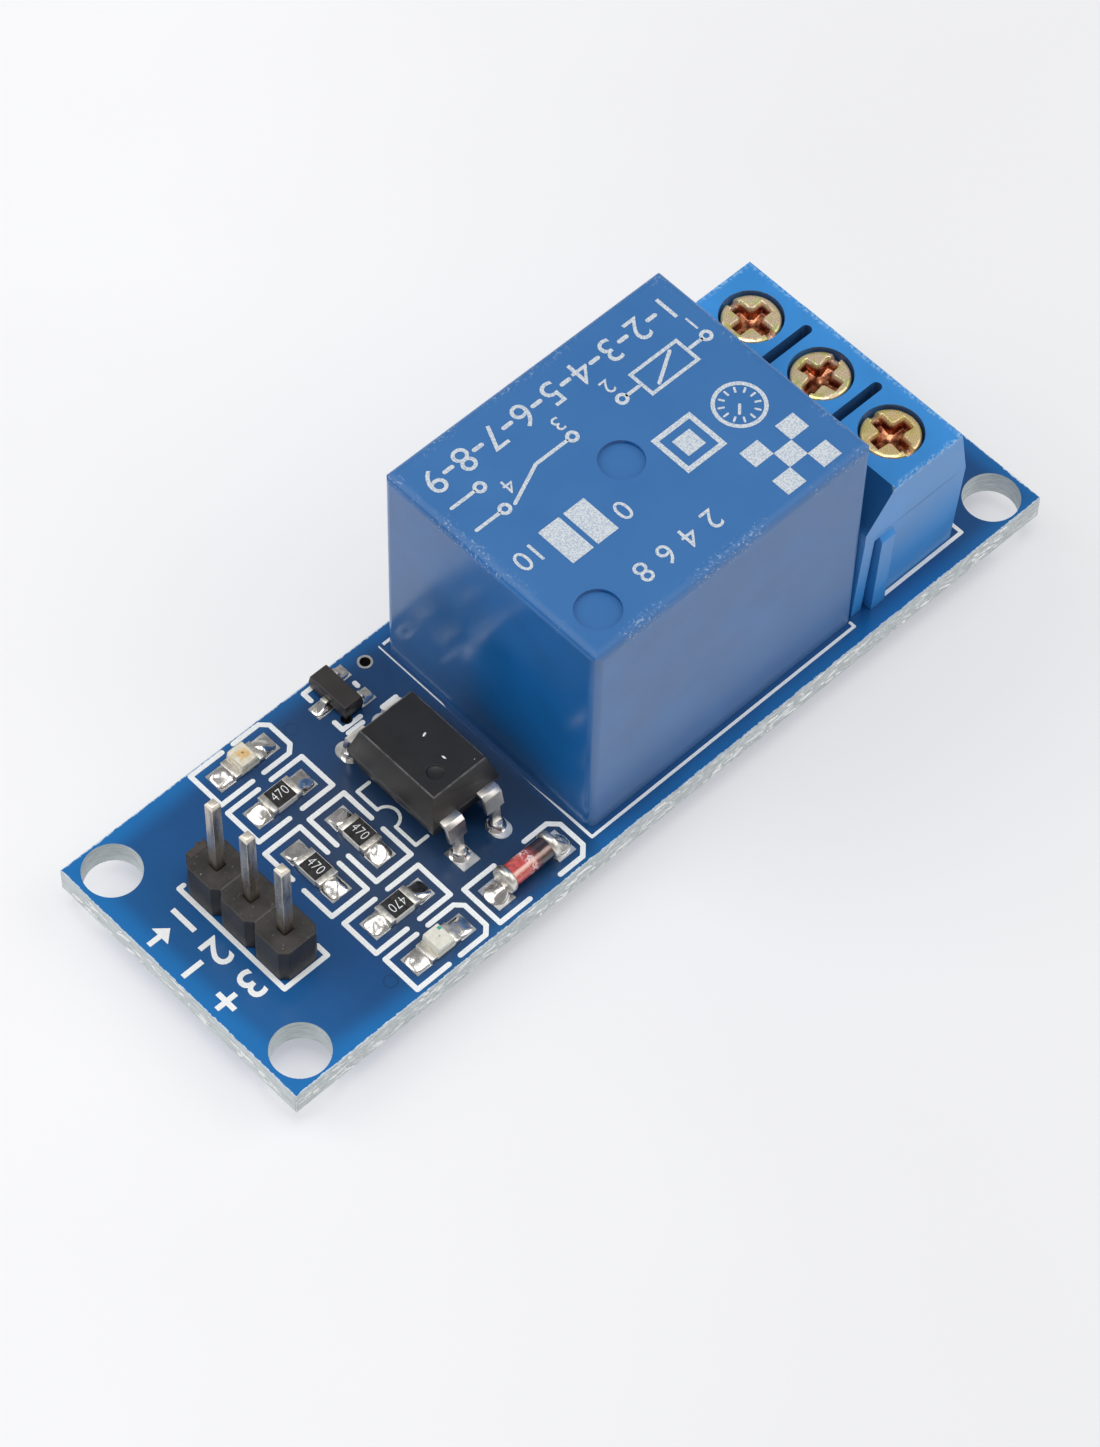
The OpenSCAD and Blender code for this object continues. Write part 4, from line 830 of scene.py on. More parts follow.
def spot(x, y, z, turn=0, reach=0.0):
    """A point, a turn about the vertical in degrees and a step in the new direction."""
    turned = Matrix.Rotation(math.radians(turn), 4, "Z")
    return Matrix.Translation((x, y, z)) @ turned @ Matrix.Translation((reach, 0, 0))


def joined(shapes):
    """One bmesh that holds all the given ones."""
    whole = bmesh.new()
    for shape in shapes:
        scratch = bpy.data.meshes.new("scratch")
        shape.to_mesh(scratch)
        shape.free()
        whole.from_mesh(scratch)
        bpy.data.meshes.remove(scratch)
    return whole


def block(size, at, round_by):
    """A box of a size in millimetres, with its edges rounded, centred on at."""
    shape = bmesh.new()
    bmesh.ops.create_cube(shape, size=1.0)
    placed(shape, Matrix.Diagonal((*(Vector(size) * MM), 1)))
    bmesh.ops.bevel(
        shape, geom=shape.edges[:], offset=round_by * MM, segments=2, profile=0.5,
        affect="EDGES", material=-1,
    )
    return placed(shape, Matrix.Translation(at))


def lumpy_ball(strength, coarseness, offset):
    """A ball of diameter 1 with dents of chance shape."""
    shape = bmesh.new()
    bmesh.ops.create_icosphere(shape, subdivisions=2, radius=0.5)
    for vert in shape.verts:
        dent = noise.noise(vert.co * coarseness + Vector((offset, 0, 0)))
        vert.co *= 1 + strength * dent
    return shape


def thickened(shape, height):
    """Turns a flat sheet of faces into a closed plate."""
    made = bmesh.ops.extrude_face_region(shape, geom=shape.faces[:])
    raised = [part for part in made["geom"] if isinstance(part, bmesh.types.BMVert)]
    bmesh.ops.translate(shape, vec=(0, 0, height), verts=raised)
    bmesh.ops.recalc_face_normals(shape, faces=shape.faces)
    return shape


def ink_plate(outline, height, z):
    """A printed area with the given outline."""
    shape = bmesh.new()
    shape.faces.new([shape.verts.new((x, y, z)) for x, y in outline])
    return thickened(shape, height)


def ink_line(points, width, height, z, closed=False):
    """A printed line through the points: mitred corners and round ends."""
    shape = bmesh.new()
    path = [Vector((x, y)) for x, y in points]
    last = len(path) - 1
    sharpest = 0.35  # limits how far a mitre reaches
    pairs = []
    for i, point in enumerate(path):
        before = path[i - 1] if i or closed else None
        after = path[(i + 1) % len(path)] if i < last or closed else None
        steps = [(b - a).normalized() for a, b in ((before, point), (point, after)) if a and b]
        along = sum(steps, Vector((0, 0))).normalized()
        across = Vector((-along.y, along.x))
        reach = width / 2 / max(sharpest, abs(along.dot(steps[0])))
        pairs.append([
            shape.verts.new((*(point + side * reach * across), z)) for side in (1, -1)
        ])
    ends = zip(pairs, pairs[1:] + pairs[:1]) if closed else zip(pairs, pairs[1:])
    for (left, right), (next_left, next_right) in ends:
        shape.faces.new((left, right, next_right, next_left))
    if not closed:
        round_end(shape, path[0], path[0] - path[1], pairs[0][::-1], width, z)
        round_end(shape, path[-1], path[-1] - path[-2], pairs[-1], width, z)
    return thickened(shape, height)


def round_end(shape, point, out, pair, width, z):
    """Half a disc at the end of a line, between its last two corners."""
    start = math.degrees(math.atan2(out.y, out.x))
    bend = arc(point, width / 2, start + 90, start - 90, 8)[1:-1]
    shape.faces.new([pair[0], *(shape.verts.new((x, y, z)) for x, y in bend), pair[1]])


def arc(centre, radius, start, end, steps):
    """Points along an arc, with angles in degrees."""
    angles = [math.radians(start + (end - start) * i / steps) for i in range(steps + 1)]
    return [(centre[0] + radius * math.cos(a), centre[1] + radius * math.sin(a)) for a in angles]


def digits(text, height, thickness, matrix, spacing=1.0, bolder=0.0):
    """Plain numbers as a closed mesh, placed by a matrix."""
    size_of_height = 1.42
    curve = bpy.data.curves.new("digits", "FONT")
    curve.body = text
    curve.size = height * size_of_height
    curve.extrude = thickness / 2
    curve.offset = bolder
    curve.align_x = "CENTER"
    curve.align_y = "CENTER"
    curve.space_character = spacing
    curve.resolution_u = 4
    source = linked("digits", curve)
    bpy.context.view_layer.update()
    evaluated = source.evaluated_get(bpy.context.evaluated_depsgraph_get())
    mesh = bpy.data.meshes.new_from_object(evaluated)
    bpy.data.objects.remove(source)
    bpy.data.curves.remove(curve)
    shape = bmesh.new()
    shape.from_mesh(mesh)
    bpy.data.meshes.remove(mesh)
    bmesh.ops.remove_doubles(shape, verts=shape.verts, dist=0.0001 * MM)
    return placed(shape, matrix)


def solder_lump(half_length, half_width, high, low, seed, squareness=0.6):
    """A solder fillet on a land. It is highest at x = -half_length and thins outwards."""
    shape = bmesh.new()
    bmesh.ops.create_uvsphere(shape, u_segments=56, v_segments=36, radius=1.0)
    for vert in shape.verts:
        x, y, z = vert.co
        x = math.copysign(abs(x) ** squareness, x)
        y = math.copysign(abs(y) ** squareness, y)
        outward = min(1.0, max(0.0, (x + 1) / 2))
        ridge = 1 - 0.45 * y * y
        height = low + (high - low) * (1 - outward) ** 1.5 * ridge
        swell = noise.noise(Vector((x * 0.8 + 3.7 * seed, y * 0.8, 0.3)))
        waist = 1 - 0.12 * outward * (1 + noise.noise(Vector((x, seed * 1.7, 0.5))))
        belly = 1 + 0.16 * math.sin(math.pi * outward) * (1 + 2 * swell)
        vert.co = (
            x * half_length,
            y * half_width * waist,
            max(z, 0.0) ** 0.7 * height * belly * (1 + 0.35 * swell),
        )
    return shape


def solder_cone(foot, neck, height, seed, flip=1):
    """A round joint with a hollow flank, closed below, standing on z = 0."""
    shape = bmesh.new()
    steps = 10
    rim = [shape.verts.new((0, 0, 0))]
    for i in range(steps + 1):
        up = i / steps
        rim.append(shape.verts.new((neck + (foot - neck) * (1 - up) ** 2.2, 0, height * up)))
    rim.append(shape.verts.new((0, 0, height * 1.05)))
    for first, second in zip(rim, rim[1:]):
        shape.edges.new((first, second))
    bmesh.ops.spin(
        shape, geom=shape.verts[:] + shape.edges[:], cent=(0, 0, 0), axis=(0, 0, 1),
        angle=math.tau, steps=32, use_merge=True, use_duplicate=False,
    )
    bmesh.ops.remove_doubles(shape, verts=shape.verts, dist=0.0005 * MM)
    for vert in shape.verts:
        ripple = 1 + 0.10 * noise.noise(Vector((vert.co.x, vert.co.y, seed * MM)) / (0.5 * MM))
        vert.co.x *= ripple
        vert.co.y *= ripple
        vert.co.z *= flip
    bmesh.ops.recalc_face_normals(shape, faces=shape.faces)
    return shape


def recess_depth(u, v):
    """Depth of the driver recess at a point of the head: a cross over a full slot."""
    radius = math.hypot(u, v)
    outside = min(
        max(abs(u) - CROSS_REACH, abs(v) - CROSS_HALF_WIDTH),
        max(abs(v) - CROSS_REACH, abs(u) - CROSS_HALF_WIDTH),
        radius - CROSS_CENTRE,
    )
    floor = CROSS_DEPTH - CROSS_RISE * min(1.0, radius / CROSS_REACH)
    cross = floor * eased((0.05 - outside) / CROSS_WALL)
    slot = SLOT_DEPTH * eased((SLOT_HALF_WIDTH - abs(v)) / SLOT_WALL)
    return max(cross, slot)


def eased(share):
    share = min(1.0, max(0.0, share))
    return share * share * (3 - 2 * share)


# ---------------------------------------------------------------- operators


class RELAYMODULE_OT_stage(bpy.types.Operator):
    """Floor, lamps, world and camera"""

    bl_idname = "relay_module.stage"
    bl_label = "Studio"

    def execute(self, context):
        scene = context.scene
        scene.view_settings.view_transform = "Standard"
        self.add_floor()
        self.set_world(scene)
        for name, (place, size) in LAMPS.items():
            self.add_lamp(name, place, size)
        self.add_camera(scene)
        return {"FINISHED"}

    def add_floor(self):
        shape = bmesh.new()
        bmesh.ops.create_grid(shape, x_segments=2, y_segments=2, size=FLOOR_HALF)
        bmesh.ops.translate(shape, vec=(0, 0, CAD_BOX[0].z), verts=shape.verts)
        mesh = bpy.data.meshes.new("studio_floor")
        shape.to_mesh(mesh)
        shape.free()
        mesh.materials.append(floor_finish())
        linked("studio_floor", mesh)

    def set_world(self, scene):
        """A white world, dimmer where gloss mirrors it."""
        world = bpy.data.worlds.new("studio")
        world.use_nodes = True
        tree = world.node_tree
        background = tree.nodes["Background"]
        background.inputs["Color"].default_value = (1.0, 1.0, 1.0, 1.0)
        path = tree.nodes.new("ShaderNodeLightPath")
        strength = tree.nodes.new("ShaderNodeMapRange")
        strength.inputs["To Min"].default_value = WORLD_LIGHT
        strength.inputs["To Max"].default_value = WORLD_IN_GLOSS
        tree.links.new(path.outputs["Is Glossy Ray"], strength.inputs["Value"])
        tree.links.new(strength.outputs[0], background.inputs["Strength"])
        scene.world = world

    def add_lamp(self, name, place, size):
        data = bpy.data.lights.new(name, "AREA")
        data.size = size
        data.energy = LAMP_POWER
        lamp = linked(name, data)
        lamp.location = place
        lamp.rotation_mode = "QUATERNION"
        lamp.rotation_quaternion = (-Vector(place)).to_track_quat("-Z", "Y")

    def add_camera(self, scene):
        """Looks down on the module from its pin end, a little rolled."""
        away = Vector((
            math.sin(CAMERA_AZIMUTH) * math.cos(CAMERA_ELEVATION),
            math.cos(CAMERA_AZIMUTH) * math.cos(CAMERA_ELEVATION),
            -math.sin(CAMERA_ELEVATION),
        ))
        data = bpy.data.cameras.new("camera")
        data.lens = CAMERA_LENS
        data.sensor_width = 36.0
        data.clip_start = 0.01
        data.clip_end = 10.0
        camera = linked("camera", data)
        camera.location = CAMERA_TARGET - away * CAMERA_DISTANCE
        camera.rotation_mode = "QUATERNION"
        roll = Matrix.Rotation(CAMERA_ROLL, 3, "Z").to_quaternion()
        camera.rotation_quaternion = away.to_track_quat("-Z", "Y") @ roll
        scene.camera = camera


class RELAYMODULE_OT_board(bpy.types.Operator):
    """Board, lands, legend and the generic marks beside the header"""

    bl_idname = "relay_module.board"
    bl_label = "Board"

    def execute(self, context):
        paint("circuit_board", board_finish())
        paint("legend", ink_finish("legend"))
        paint("copper_lands", tin_finish("tinned land"))
        self.add_pin_marks()
        self.add_torn_edge()
        return {"FINISHED"}

    def add_torn_edge(self):
        """Splinters of glass and resin along the sawn front edge, and a few on the left."""
        dice = random.Random(5)
        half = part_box("circuit_board")[1].xy
        reach = half - Vector((0.6, 0.6)) * MM
        proud = half + Vector((0.01, 0.01)) * MM
        shapes = []
        for index in range(SPLINTERS):
            along = dice.uniform(-1, 1)
            front = index < FRONT_SPLINTERS
            x, y = (along * reach.x, -proud.y) if front else (-proud.x, along * reach.y)
            z = BOARD_TOP * (0.12 + 0.80 * dice.random() ** 1.5)
            size = Vector(
                (dice.uniform(0.15, 1.10), dice.uniform(0.05, 0.14), dice.uniform(0.04, 0.16))
            )
            tilt = Matrix.Rotation(dice.gauss(0, 0.16), 4, "Y")
            scale = Matrix.Diagonal((*(size * MM), 1))
            matrix = spot(x, y, z, 0 if front else 90) @ tilt @ scale
            shapes.append(placed(lumpy_ball(0.5, 2.3, index), matrix))
        new_piece(shapes, "edge_splinters", plain_finish("torn laminate"))

    def add_pin_marks(self):
        """A number and a sign for each pin: plus, minus and an arrow."""
        height = sizes().print_height
        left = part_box("header_housing")[0].x
        signs = {
            3: [(-0.65, 0.15), (-0.15, 0.15), (-0.15, 0.65), (0.15, 0.65), (0.15, 0.15),
                (0.65, 0.15), (0.65, -0.15), (0.15, -0.15), (0.15, -0.65), (-0.15, -0.65),
                (-0.15, -0.15), (-0.65, -0.15)],
            2: [(-0.65, 0.15), (0.65, 0.15), (0.65, -0.15), (-0.65, -0.15)],
            1: [(0.7, 0.15), (-0.05, 0.15), (-0.05, 0.62), (-0.75, 0.0), (-0.05, -0.62),
                (-0.05, -0.15), (0.7, -0.15)],
        }
        shapes = []
        for number, sign in signs.items():
            # the marks are read from the relay's side, so they are turned round
            x, y = left - 2.75 * MM, middle(f"header_pin_{4 - number}").y
            outline = [(x - u * MM, y - v * MM) for u, v in sign]
            shapes.append(ink_plate(outline, height, BOARD_TOP))
            matrix = spot(left - 1.2 * MM, y, BOARD_TOP + height / 2, 180)
            shapes.append(digits(str(number), 1.7 * MM, height, matrix, bolder=0.03 * MM))
        new_piece(shapes, "pin_marks", ink_finish("legend"), smooth=None)


class RELAYMODULE_OT_header(bpy.types.Operator):
    """Three-pin header"""

    bl_idname = "relay_module.header"
    bl_label = "Pin header"

    def execute(self, context):
        softened("header_housing", sizes().edge_round, header_finish())
        for number in (1, 2, 3):
            softened(f"header_pin_{number}", sizes().metal_round, pin_finish())
        self.add_snapped_end()
        return {"FINISHED"}

    def add_snapped_end(self):
        """Ragged web left where the header was snapped off its strip."""
        low, high = span("header_housing")
        size = Vector((1.25, 0.46, high.z - low.z - 0.30))
        at = ((low.x + high.x) / 2 - 0.15, high.y + 0.04, high.z - size.z / 2 + 0.03)
        shape = block(size, (0, 0, 0), 0.05)
        bmesh.ops.subdivide_edges(shape, edges=shape.edges[:], cuts=6, use_grid_fill=True)
        for vert in shape.verts:
            outward = max(0.0, vert.co.y / MM / size.y + 0.5)
            raised = max(0.0, vert.co.z / MM / size.z) * 0.16 * MM
            push = noise.noise(vert.co / (0.28 * MM)) * 0.20 * MM
            vert.co += Vector((push * 0.6, push, push * 0.6 + raised)) * outward
        placed(shape, Matrix.Translation(Vector(at) * MM))
        new_piece(
            shape, "header_snapped_end", plain_finish("snapped moulding")
        )


class RELAYMODULE_OT_chips(bpy.types.Operator):
    """Chip resistors with plain numbers"""

    bl_idname = "relay_module.chips"
    bl_label = "Chip resistors"

    def execute(self, context):
        for node in CHIP_TURNS:
            paint(node, ceramic_finish())
        edge = sizes().metal_round
        softened("resistor_caps", edge, tin_finish("plated end"))
        softened("resistor_coats", edge * 0.5, coat_finish())
        self.add_numbers()
        return {"FINISHED"}

    def add_numbers(self):
        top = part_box("resistor_coats")[1].z
        narrow = Matrix.Diagonal((0.80, 1.0, 1.0, 1.0))
        shapes = []
        for node, turn in CHIP_TURNS.items():
            at = middle(node)
            matrix = spot(at.x, at.y, top, -90 if turn == 90 else turn) @ narrow
            height = sizes().print_height
            shapes.append(digits("470", 0.58 * MM, height, matrix, 1.05, -0.014 * MM))
        new_piece(shapes, "chip_numbers", ink_finish("legend"), smooth=None)


class RELAYMODULE_OT_solder(bpy.types.Operator):
    """Solder on the lands and in the plated holes"""

    bl_idname = "relay_module.solder"
    bl_label = "Solder"

    def execute(self, context):
        self.add_chip_solder()
        self.add_transistor_solder()
        self.add_opto_solder()
        for node in ("header_solder", "relay_solder", "terminal_solder"):
            paint(node, tin_finish("solder"))
        return {"FINISHED"}

    def lump(self, at, turn, reach, form):
        """A lump on a land that lies reach away from the middle of its part."""
        return placed(solder_lump(*form), spot(at.x, at.y, LAND_TOP, turn, reach))

    def add_chip_solder(self):
        half = (LAND_REACH - CHIP_HALF) / 2 + 0.08 * MM
        chips = [(middle(node), turn, 0.66, 0.52) for node, turn in CHIP_TURNS.items()]
        chips += [(middle(f"lamp_{number}_base"), 0, 0.64, 0.40) for number in (1, 2)]
        diode = middle("diode_glass")
        shapes = []
        for side in (0, 1):
            for index, (at, turn, half_width, high) in enumerate(chips):
                form = (half, half_width * MM, high * MM, 0.10 * MM, index * 2 + side)
                shapes.append(self.lump(at, turn + 180 * side, LAND_REACH - half, form))
            form = (0.62 * MM, 0.70 * MM, 0.80 * MM, 0.16 * MM, 31 + 2 * side, 0.85)
            shapes.append(self.lump(diode, 180 * side, 2.14 * MM, form))
        new_piece(
            shapes, "chip_solder_lumps", tin_finish("solder"), smooth=70,
            stand_for=("chip_solder",),
        )

    def add_transistor_solder(self):
        at = middle("transistor_leads")
        shapes = []
        for index, (turn, y) in enumerate(((180, 0.0), (0, 0.95), (0, -0.95))):
            foot = at + Vector((0, y * MM, 0))
            form = (0.52 * MM, 0.42 * MM, 0.26 * MM, 0.10 * MM, 50 + index)
            shapes.append(self.lump(foot, turn, 1.05 * MM, form))
        new_piece(shapes, "transistor_solder", tin_finish("solder"), smooth=70)

    def add_opto_solder(self):
        low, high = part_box("opto_solder")
        at = (low + high) / 2
        row = (high.y - low.y) / 2 - 0.56 * MM
        foot = 0.57 * MM
        shapes = []
        for index, (side, end) in enumerate(((-1, -1), (1, -1), (-1, 1), (1, 1))):
            x, y = at.x + side * 1.27 * MM, at.y + end * row
            above = solder_cone(foot, 0.33 * MM, 0.38 * MM, index)
            below = solder_cone(foot, 0.34 * MM, 1.0 * MM, index + 7, flip=-1)
            shapes.append(placed(above, spot(x, y, LAND_TOP)))
            shapes.append(placed(below, spot(x, y, -0.03 * MM)))
        new_piece(
            shapes, "opto_solder_joints", tin_finish("solder"), smooth=60,
            stand_for=("opto_solder",),
        )


class RELAYMODULE_OT_lamps(bpy.types.Operator):
    """Two chip lamps: base, frame and crystal under resin"""

    bl_idname = "relay_module.lamps"
    bl_label = "Lamps"

    def execute(self, context):
        edge = sizes().metal_round
        for number in (1, 2):
            base, lens = f"lamp_{number}_base", f"lamp_{number}_lens"
            softened(base, edge, plain_finish("lamp laminate"))
            softened(lens, edge * 1.6, lens_finish(number))
            at = middle(lens)
            low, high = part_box(lens)
            if number == 1:
                at.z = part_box(base)[1].z
                self.add_marks(number, at, ((0.52, -0.50), (0.52, 0.50)), (0.26, 0.22, 0.03))
                at.z = low.z
                self.add_inside(at)
            else:
                at.z = high.z
                self.add_marks(number, at, ((0.36, 0.34),), (0.20, 0.20, 0.02))
        softened("lamp_ends", edge, tin_finish("plated end"))
        return {"FINISHED"}

    def add_marks(self, number, at, places, size):
        shapes = [block(size, at + Vector((x, y, 0)) * MM, 0.004) for x, y in places]
        new_piece(shapes, f"lamp_{number}_marks", plain_finish("green mark"))

    def add_inside(self, at):
        """The gilt frame and the crystal in the clear resin."""
        gilt = block((0.62, 0.52, 0.03), at + Vector((-0.10, 0, 0.03)) * MM, 0.006)
        new_piece(gilt, "lamp_1_frame", plain_finish("gilt frame"))
        die = block((0.16, 0.16, 0.10), at + Vector((0.02, 0.06, 0.12)) * MM, 0.01)
        new_piece(die, "lamp_1_crystal", plain_finish("lamp crystal"))


class RELAYMODULE_OT_transistor(bpy.types.Operator):
    """Driver transistor"""

    bl_idname = "relay_module.transistor"
    bl_label = "Transistor"

    def execute(self, context):
        softened("transistor_body", BODY_ROUND, transistor_finish())
        softened("transistor_leads", 0.02 * MM, tin_finish("plated end"))
        return {"FINISHED"}


class RELAYMODULE_OT_diode(bpy.types.Operator):
    """Glass diode with drawn caps"""

    bl_idname = "relay_module.diode"
    bl_label = "Diode"

    def execute(self, context):
        paint("diode_glass", diode_finish())
        paint("diode_pellet", plain_finish("diode crystal"))
        softened("diode_caps", CAP_ROUND, tin_finish("plated end"), steps=4)
        return {"FINISHED"}


class RELAYMODULE_OT_opto(bpy.types.Operator):
    """Optocoupler with painted highlights on its edges and flakes of dust"""

    bl_idname = "relay_module.opto"
    bl_label = "Optocoupler"

    def execute(self, context):
        softened("opto_body", BODY_ROUND, opto_finish())
        softened("opto_leads", 0.05 * MM, metal_finish("tinned pin"))
        self.add_dust()
        return {"FINISHED"}

    def add_dust(self):
        at = middle("opto_body")
        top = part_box("opto_body")[1].z
        shapes = []
        for index, (x, y, length, turn) in enumerate(DUST_FLAKES):
            scale = Matrix.Diagonal((length * MM, length * 0.4 * MM, 0.05 * MM, 1))
            matrix = spot(at.x + x * MM, at.y + y * MM, top, turn) @ scale
            shapes.append(placed(lumpy_ball(0.6, 2, index * 5), matrix))
        new_piece(shapes, "dust_flakes", plain_finish("torn laminate"))


class RELAYMODULE_OT_relay(bpy.types.Operator):
    """Relay: cover with print, and the mechanism inside"""

    bl_idname = "relay_module.relay"
    bl_label = "Relay"

    def execute(self, context):
        paint("relay_case", relay_finish())
        self.paint_inside()
        self.add_print()
        return {"FINISHED"}

    def paint_inside(self):
        paint("relay_base", plain_finish("relay base"))
        paint("coil_bobbin", plain_finish("bobbin resin"))
        paint("coil_winding", winding_finish())
        metals = {
            "coil_core": "plated iron", "yoke": "plated iron", "armature": "plated iron",
            "contact_spring": "spring leaf", "moving_contact": "contact silver",
            "closed_contact": "contact brass", "open_contact": "contact brass",
            "coil_pin_1": "tinned pin", "coil_pin_2": "tinned pin",
        }
        for node, metal in metals.items():
            paint(node, metal_finish(metal))

    def add_print(self):
        """A plain wiring diagram, a dial, a chequer and rows of plain numbers."""
        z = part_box("relay_case")[1].z
        height = sizes().print_height
        centre = middle("relay_case")

        def at(x, y):
            """Print is read from the back edge, so both axes are turned round."""
            return (centre.x - x * MM, centre.y - y * MM)

        def line(points, width=0.2, closed=False):
            return ink_line([at(*p) for p in points], width * MM, height, z, closed)

        def ring(place, radius, width=0.2):
            return line(arc(place, radius, 0, 360, 32)[:-1], width, closed=True)

        def corners(x, y, wide, tall):
            return [(x, y), (x + wide, y), (x + wide, y + tall), (x, y + tall)]

        def area(*rectangle):
            return ink_plate([at(*p) for p in corners(*rectangle)], height, z)

        def number(text, x, y, tall, spacing=1.0):
            matrix = spot(*at(x, y), z + height / 2, 180)
            return digits(text, tall * MM, height, matrix, spacing)

        # a chequer of five squares, a framed square and two blocks
        square = (1.25, 1.15)
        shapes = [
            area(-8.0 + square[0] * (i % 3), 3.5 + square[1] * (i // 3), *square)
            for i in range(0, 9, 2)
        ]
        shapes += [area(-3.5, 0.7, 1.2, 1.2), area(3.3, 0.2, 1.4, 2.5), area(5.0, 0.2, 1.4, 2.5)]
        shapes.append(line(corners(-4.1, 0.1, 2.4, 2.4), 0.3, closed=True))

        # a dial with twelve marks and a hand
        dial = (-6.4, 1.35)
        shapes.append(ring(dial, 1.35, 0.22))
        for hour in range(12):
            inner, outer = (arc(dial, radius, 30 * hour, 0, 1)[0] for radius in (0.82, 1.08))
            shapes.append(line([inner, outer], 0.12))
        shapes.append(line([dial, (-6.0, 1.75)], 0.16))

        # a coil and a changeover contact, with rings for the pins
        shapes.append(line(corners(-6.9, -3.7, 3.2, 1.6), closed=True))
        for points in (
            [(-6.2, -3.45), (-4.4, -2.35)],
            [(-7.9, -2.9), (-7.1, -2.9)],
            [(-3.5, -2.9), (-2.7, -2.9)],
            [(1.5, -2.9), (3.6, -2.9), (6.0, -1.85)],
            [(7.0, -1.95), (8.5, -1.95)],
            [(7.0, -3.75), (8.5, -3.75)],
        ):
            shapes.append(line(points))
        for pin in ((-8.25, -2.9), (-2.35, -2.9), (1.1, -2.9), (6.6, -1.95), (6.6, -3.75)):
            shapes.append(ring(pin, 0.27))

        # numbers, and a counting scale along the edge
        for text, x, y, tall in (
            ("0", 2.4, 2.0, 1.2), ("10", 7.7, 0.9, 1.2), ("1", -8.25, -4.0, 0.9),
            ("2", -2.35, -4.0, 0.9), ("3", 1.1, -4.0, 0.9), ("4", 5.5, -2.9, 0.9),
        ):
            shapes.append(number(text, x, y, tall))
        shapes.append(number("2 4 6 8", 1.9, 5.35, 1.25, 1.1))
        for step in range(9):
            x = -8.0 + 2.0 * step
            shapes.append(number(str(step + 1), x, -5.6, 1.55))
            if step < 8:
                shapes.append(line([(x + 0.75, -5.6), (x + 1.25, -5.6)], 0.24))
        new_piece(shapes, "relay_print", ink_finish("relay"), smooth=None)


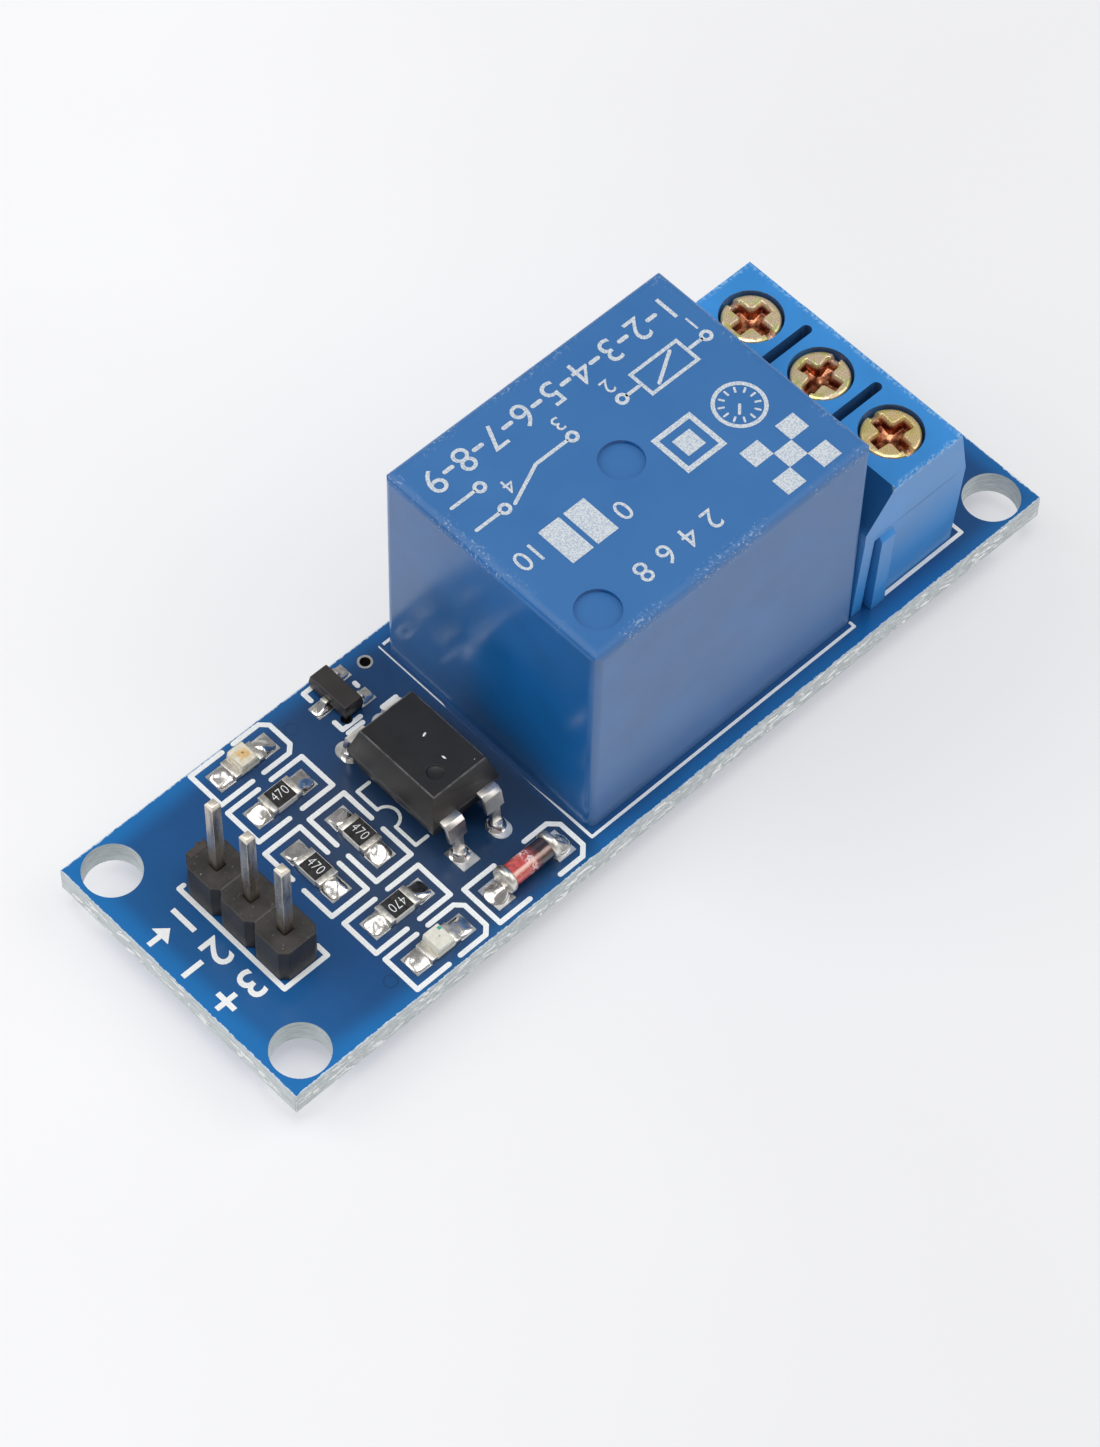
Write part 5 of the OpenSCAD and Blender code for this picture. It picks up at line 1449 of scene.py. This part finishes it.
class RELAYMODULE_OT_terminal(bpy.types.Operator):
    """Screw terminal: housing, screws, cages and strips"""

    bl_idname = "relay_module.terminal"
    bl_label = "Screw terminal"

    def execute(self, context):
        softened("terminal_housing", BLOCK_ROUND, terminal_finish())
        for number, turn in enumerate(SCREW_TURNS, 1):
            node = f"terminal_screw_{number}"
            new_piece(
                self.screw(node, turn), node + "_cut", screw_finish(),
                f"screw_{number}", stand_for=(node,),
            )
            paint(f"terminal_cage_{number}", metal_finish("cage steel"))
            paint(f"terminal_strip_{number}", metal_finish("strip brass"))
        return {"FINISHED"}

    def screw(self, node, turn):
        """A screw on its own axis: pan head with soft lobes and, below it, the cut thread."""
        low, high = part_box(node)
        centre = (low + high) / 2
        head = (high.x - low.x) / 2 / MM
        length = (high.z - low.z) / MM - HEAD_HEIGHT
        columns, head_rows, rows_per_pitch = 120, 44, 8
        angles = [math.tau * i / columns for i in range(columns)]
        shape = bmesh.new()
        rows = []

        def add_row(place):
            row = []
            for angle in angles:
                radius, z = place(angle)
                at = Vector((radius * math.cos(angle), radius * math.sin(angle), z)) * MM
                row.append(shape.verts.new((centre.x + at.x, centre.y + at.y, high.z + at.z)))
            rows.append(row)

        def head_row(radius):
            over = max(0.0, (radius - head + HEAD_ROUND) / HEAD_ROUND)
            dome = HEAD_DOME * (1 - math.sqrt(max(0.0, 1 - over * over)))

            def place(angle):
                u = radius * math.cos(angle - math.radians(turn))
                v = radius * math.sin(angle - math.radians(turn))
                swell = 0.02 * noise.noise(Vector((u * 1.6, v * 1.6, turn))) - 0.01
                return radius, swell - dome - recess_depth(u, v)

            return place

        def thread_row(z, cut):
            def place(angle):
                wave = 0.5 - 0.5 * math.cos(math.tau * z / THREAD_PITCH - angle)
                return SHANK_RADIUS - THREAD_DEPTH * cut * wave, z

            return place

        for step in range(1, head_rows + 1):
            add_row(head_row(head * step / head_rows))
        for radius, z in ((head, 0.08), (head - 0.08, 0.0), (SHANK_RADIUS, 0.0)):
            add_row(lambda angle: (radius, z - HEAD_HEIGHT))
        count = int(length / THREAD_PITCH * rows_per_pitch)
        for step in range(1, count + 1):
            cut = min(1.0, step / rows_per_pitch, (count - step) / rows_per_pitch + 0.5)
            add_row(thread_row(-HEAD_HEIGHT - (length - 0.1) * step / count, cut))
        add_row(lambda angle: (SHANK_RADIUS - 0.25, -HEAD_HEIGHT - length))
        for upper, lower in zip(rows, rows[1:]):
            for i in range(columns):
                shape.faces.new((upper[i - 1], upper[i], lower[i], lower[i - 1]))
        top = shape.verts.new((centre.x, centre.y, high.z - recess_depth(0, 0) * MM))
        for i in range(columns):
            shape.faces.new((rows[0][i - 1], rows[0][i], top))
        shape.faces.new(rows[-1])
        bmesh.ops.recalc_face_normals(shape, faces=shape.faces)
        return shape


OPERATORS = (
    RELAYMODULE_OT_stage,
    RELAYMODULE_OT_board,
    RELAYMODULE_OT_header,
    RELAYMODULE_OT_chips,
    RELAYMODULE_OT_solder,
    RELAYMODULE_OT_lamps,
    RELAYMODULE_OT_transistor,
    RELAYMODULE_OT_diode,
    RELAYMODULE_OT_opto,
    RELAYMODULE_OT_relay,
    RELAYMODULE_OT_terminal,
)


class RELAYMODULE_PT_panel(bpy.types.Panel):
    """Lists the pieces and their colours"""

    bl_label = "Relay Module"
    bl_idname = "RELAYMODULE_PT_panel"
    bl_space_type = "VIEW_3D"
    bl_region_type = "UI"
    bl_category = "Relay Module"

    def draw(self, context):
        column = self.layout.column()
        for operator in OPERATORS:
            column.operator(operator.bl_idname)
        for group in (colours(), sizes()):
            for name in group.__annotations__:
                column.prop(group, name)


CLASSES = (RelayModuleColours, RelayModuleSizes, *OPERATORS, RELAYMODULE_PT_panel)


def register():
    for entry in CLASSES:
        bpy.utils.register_class(entry)
    bpy.types.Scene.relay_module_colours = PointerProperty(type=RelayModuleColours)
    bpy.types.Scene.relay_module_sizes = PointerProperty(type=RelayModuleSizes)


def unregister():
    del bpy.types.Scene.relay_module_sizes
    del bpy.types.Scene.relay_module_colours
    for entry in reversed(CLASSES):
        bpy.utils.unregister_class(entry)


def main():
    register()
    for operator in OPERATORS:
        group, name = operator.bl_idname.split(".")
        getattr(getattr(bpy.ops, group), name)()


if __name__ == "__main__":
    main()
